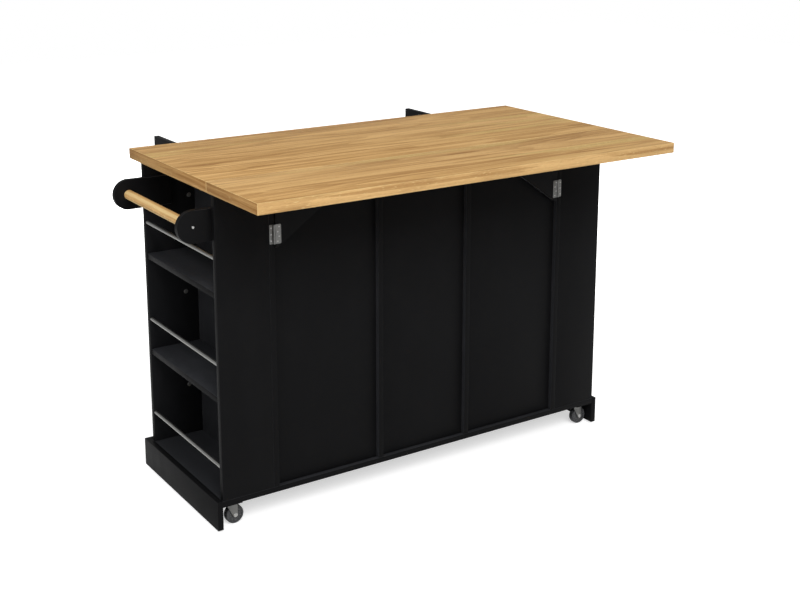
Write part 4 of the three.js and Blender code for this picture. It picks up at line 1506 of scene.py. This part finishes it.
def camera(scene, lens):
    """The photograph's view, its lens shifted so that what it looks at lies above the middle."""
    yaw, pitch = EYE["yaw"], EYE["pitch"]
    level = math.cos(pitch)
    look = Vector((-math.sin(yaw) * level, -math.cos(yaw) * level, -math.sin(pitch)))
    data = bpy.data.cameras.new("camera")
    data.lens, data.sensor_width = lens, 36.0
    data.shift_x = (PHOTO[0] / 2 - EYE["column"]) / PHOTO[0]
    data.shift_y = (EYE["row"] - PHOTO[1] / 2) / PHOTO[0]
    made = bpy.data.objects.new("camera", data)
    made.location = EYE["place"]
    made.rotation_mode = "QUATERNION"
    made.rotation_quaternion = look.to_track_quat("-Z", "Y")
    scene.collection.objects.link(made)
    scene.camera = made


# ---- operators


class ISLAND_OT_boards(bpy.types.Operator):
    """Make the cabinet's boards with eased edges"""

    bl_idname = "island.boards"
    bl_label = "Boards"

    def execute(self, context):
        plain_boards()
        bottom_board()
        partition_boards()
        shelf_pins()
        return {"FINISHED"}


class ISLAND_OT_worktop(bpy.types.Operator):
    """Make the fixed top and the leaf, with the hinges between them"""

    bl_idname = "island.worktop"
    bl_label = "Worktop and leaf"

    def execute(self, context):
        oak_tops()
        leaf_hinges()
        return {"FINISHED"}


class ISLAND_OT_wings(bpy.types.Operator):
    """Make the wings that carry the leaf"""

    bl_idname = "island.wings"
    bl_label = "Wings"

    def execute(self, context):
        wings()
        return {"FINISHED"}


class ISLAND_OT_doors(bpy.types.Operator):
    """Make the doors with their hinges and pulls"""

    bl_idname = "island.doors"
    bl_label = "Doors"

    def execute(self, context):
        doors()
        return {"FINISHED"}


class ISLAND_OT_drawers(bpy.types.Operator):
    """Make the drawers with their runners and pulls"""

    bl_idname = "island.drawers"
    bl_label = "Drawers"

    def execute(self, context):
        drawers()
        return {"FINISHED"}


class ISLAND_OT_racks(bpy.types.Operator):
    """Make the end racks' rails and the towel bar"""

    bl_idname = "island.racks"
    bl_label = "Racks and towel bar"

    def execute(self, context):
        rack_rails()
        rack_cams()
        towel_rack()
        return {"FINISHED"}


class ISLAND_OT_casters(bpy.types.Operator):
    """Make the casters"""

    bl_idname = "island.casters"
    bl_label = "Casters"

    def execute(self, context):
        casters()
        return {"FINISHED"}


class ISLAND_OT_fixings(bpy.types.Operator):
    """Set the screws and cams that the other pieces asked for"""

    bl_idname = "island.fixings"
    bl_label = "Screws and cams"

    def execute(self, context):
        FIXINGS.set()
        return {"FINISHED"}


class ISLAND_OT_stage(bpy.types.Operator):
    """Make the floor, the lamps and the camera"""

    bl_idname = "island.stage"
    bl_label = "Stage"

    def execute(self, context):
        stage()
        return {"FINISHED"}


OPERATORS = (
    ISLAND_OT_boards,
    ISLAND_OT_worktop,
    ISLAND_OT_wings,
    ISLAND_OT_doors,
    ISLAND_OT_drawers,
    ISLAND_OT_racks,
    ISLAND_OT_casters,
    ISLAND_OT_fixings,
    ISLAND_OT_stage,
)


class VIEW3D_PT_island(bpy.types.Panel):
    """Lists the island's sizes, colours and steps"""

    bl_label = "Drop leaf island"
    bl_space_type = "VIEW_3D"
    bl_region_type = "UI"
    bl_category = "Island"

    def draw(self, context):
        for name, group in GROUPS.items():
            box = self.layout.box()
            for field in group.__annotations__:
                box.prop(getattr(context.scene, name), field)
        for operator in OPERATORS:
            self.layout.operator(operator.bl_idname)


CLASSES = (*GROUPS.values(), *OPERATORS, VIEW3D_PT_island)


def register():
    for one in CLASSES:
        bpy.utils.register_class(one)
    for name, group in GROUPS.items():
        setattr(bpy.types.Scene, name, PointerProperty(type=group))


def unregister():
    for name in GROUPS:
        delattr(bpy.types.Scene, name)
    for one in reversed(CLASSES):
        bpy.utils.unregister_class(one)


def main():
    register()
    for operator in OPERATORS:
        group, name = operator.bl_idname.split(".")
        getattr(getattr(bpy.ops, group), name)()


if __name__ == "__main__":
    main()
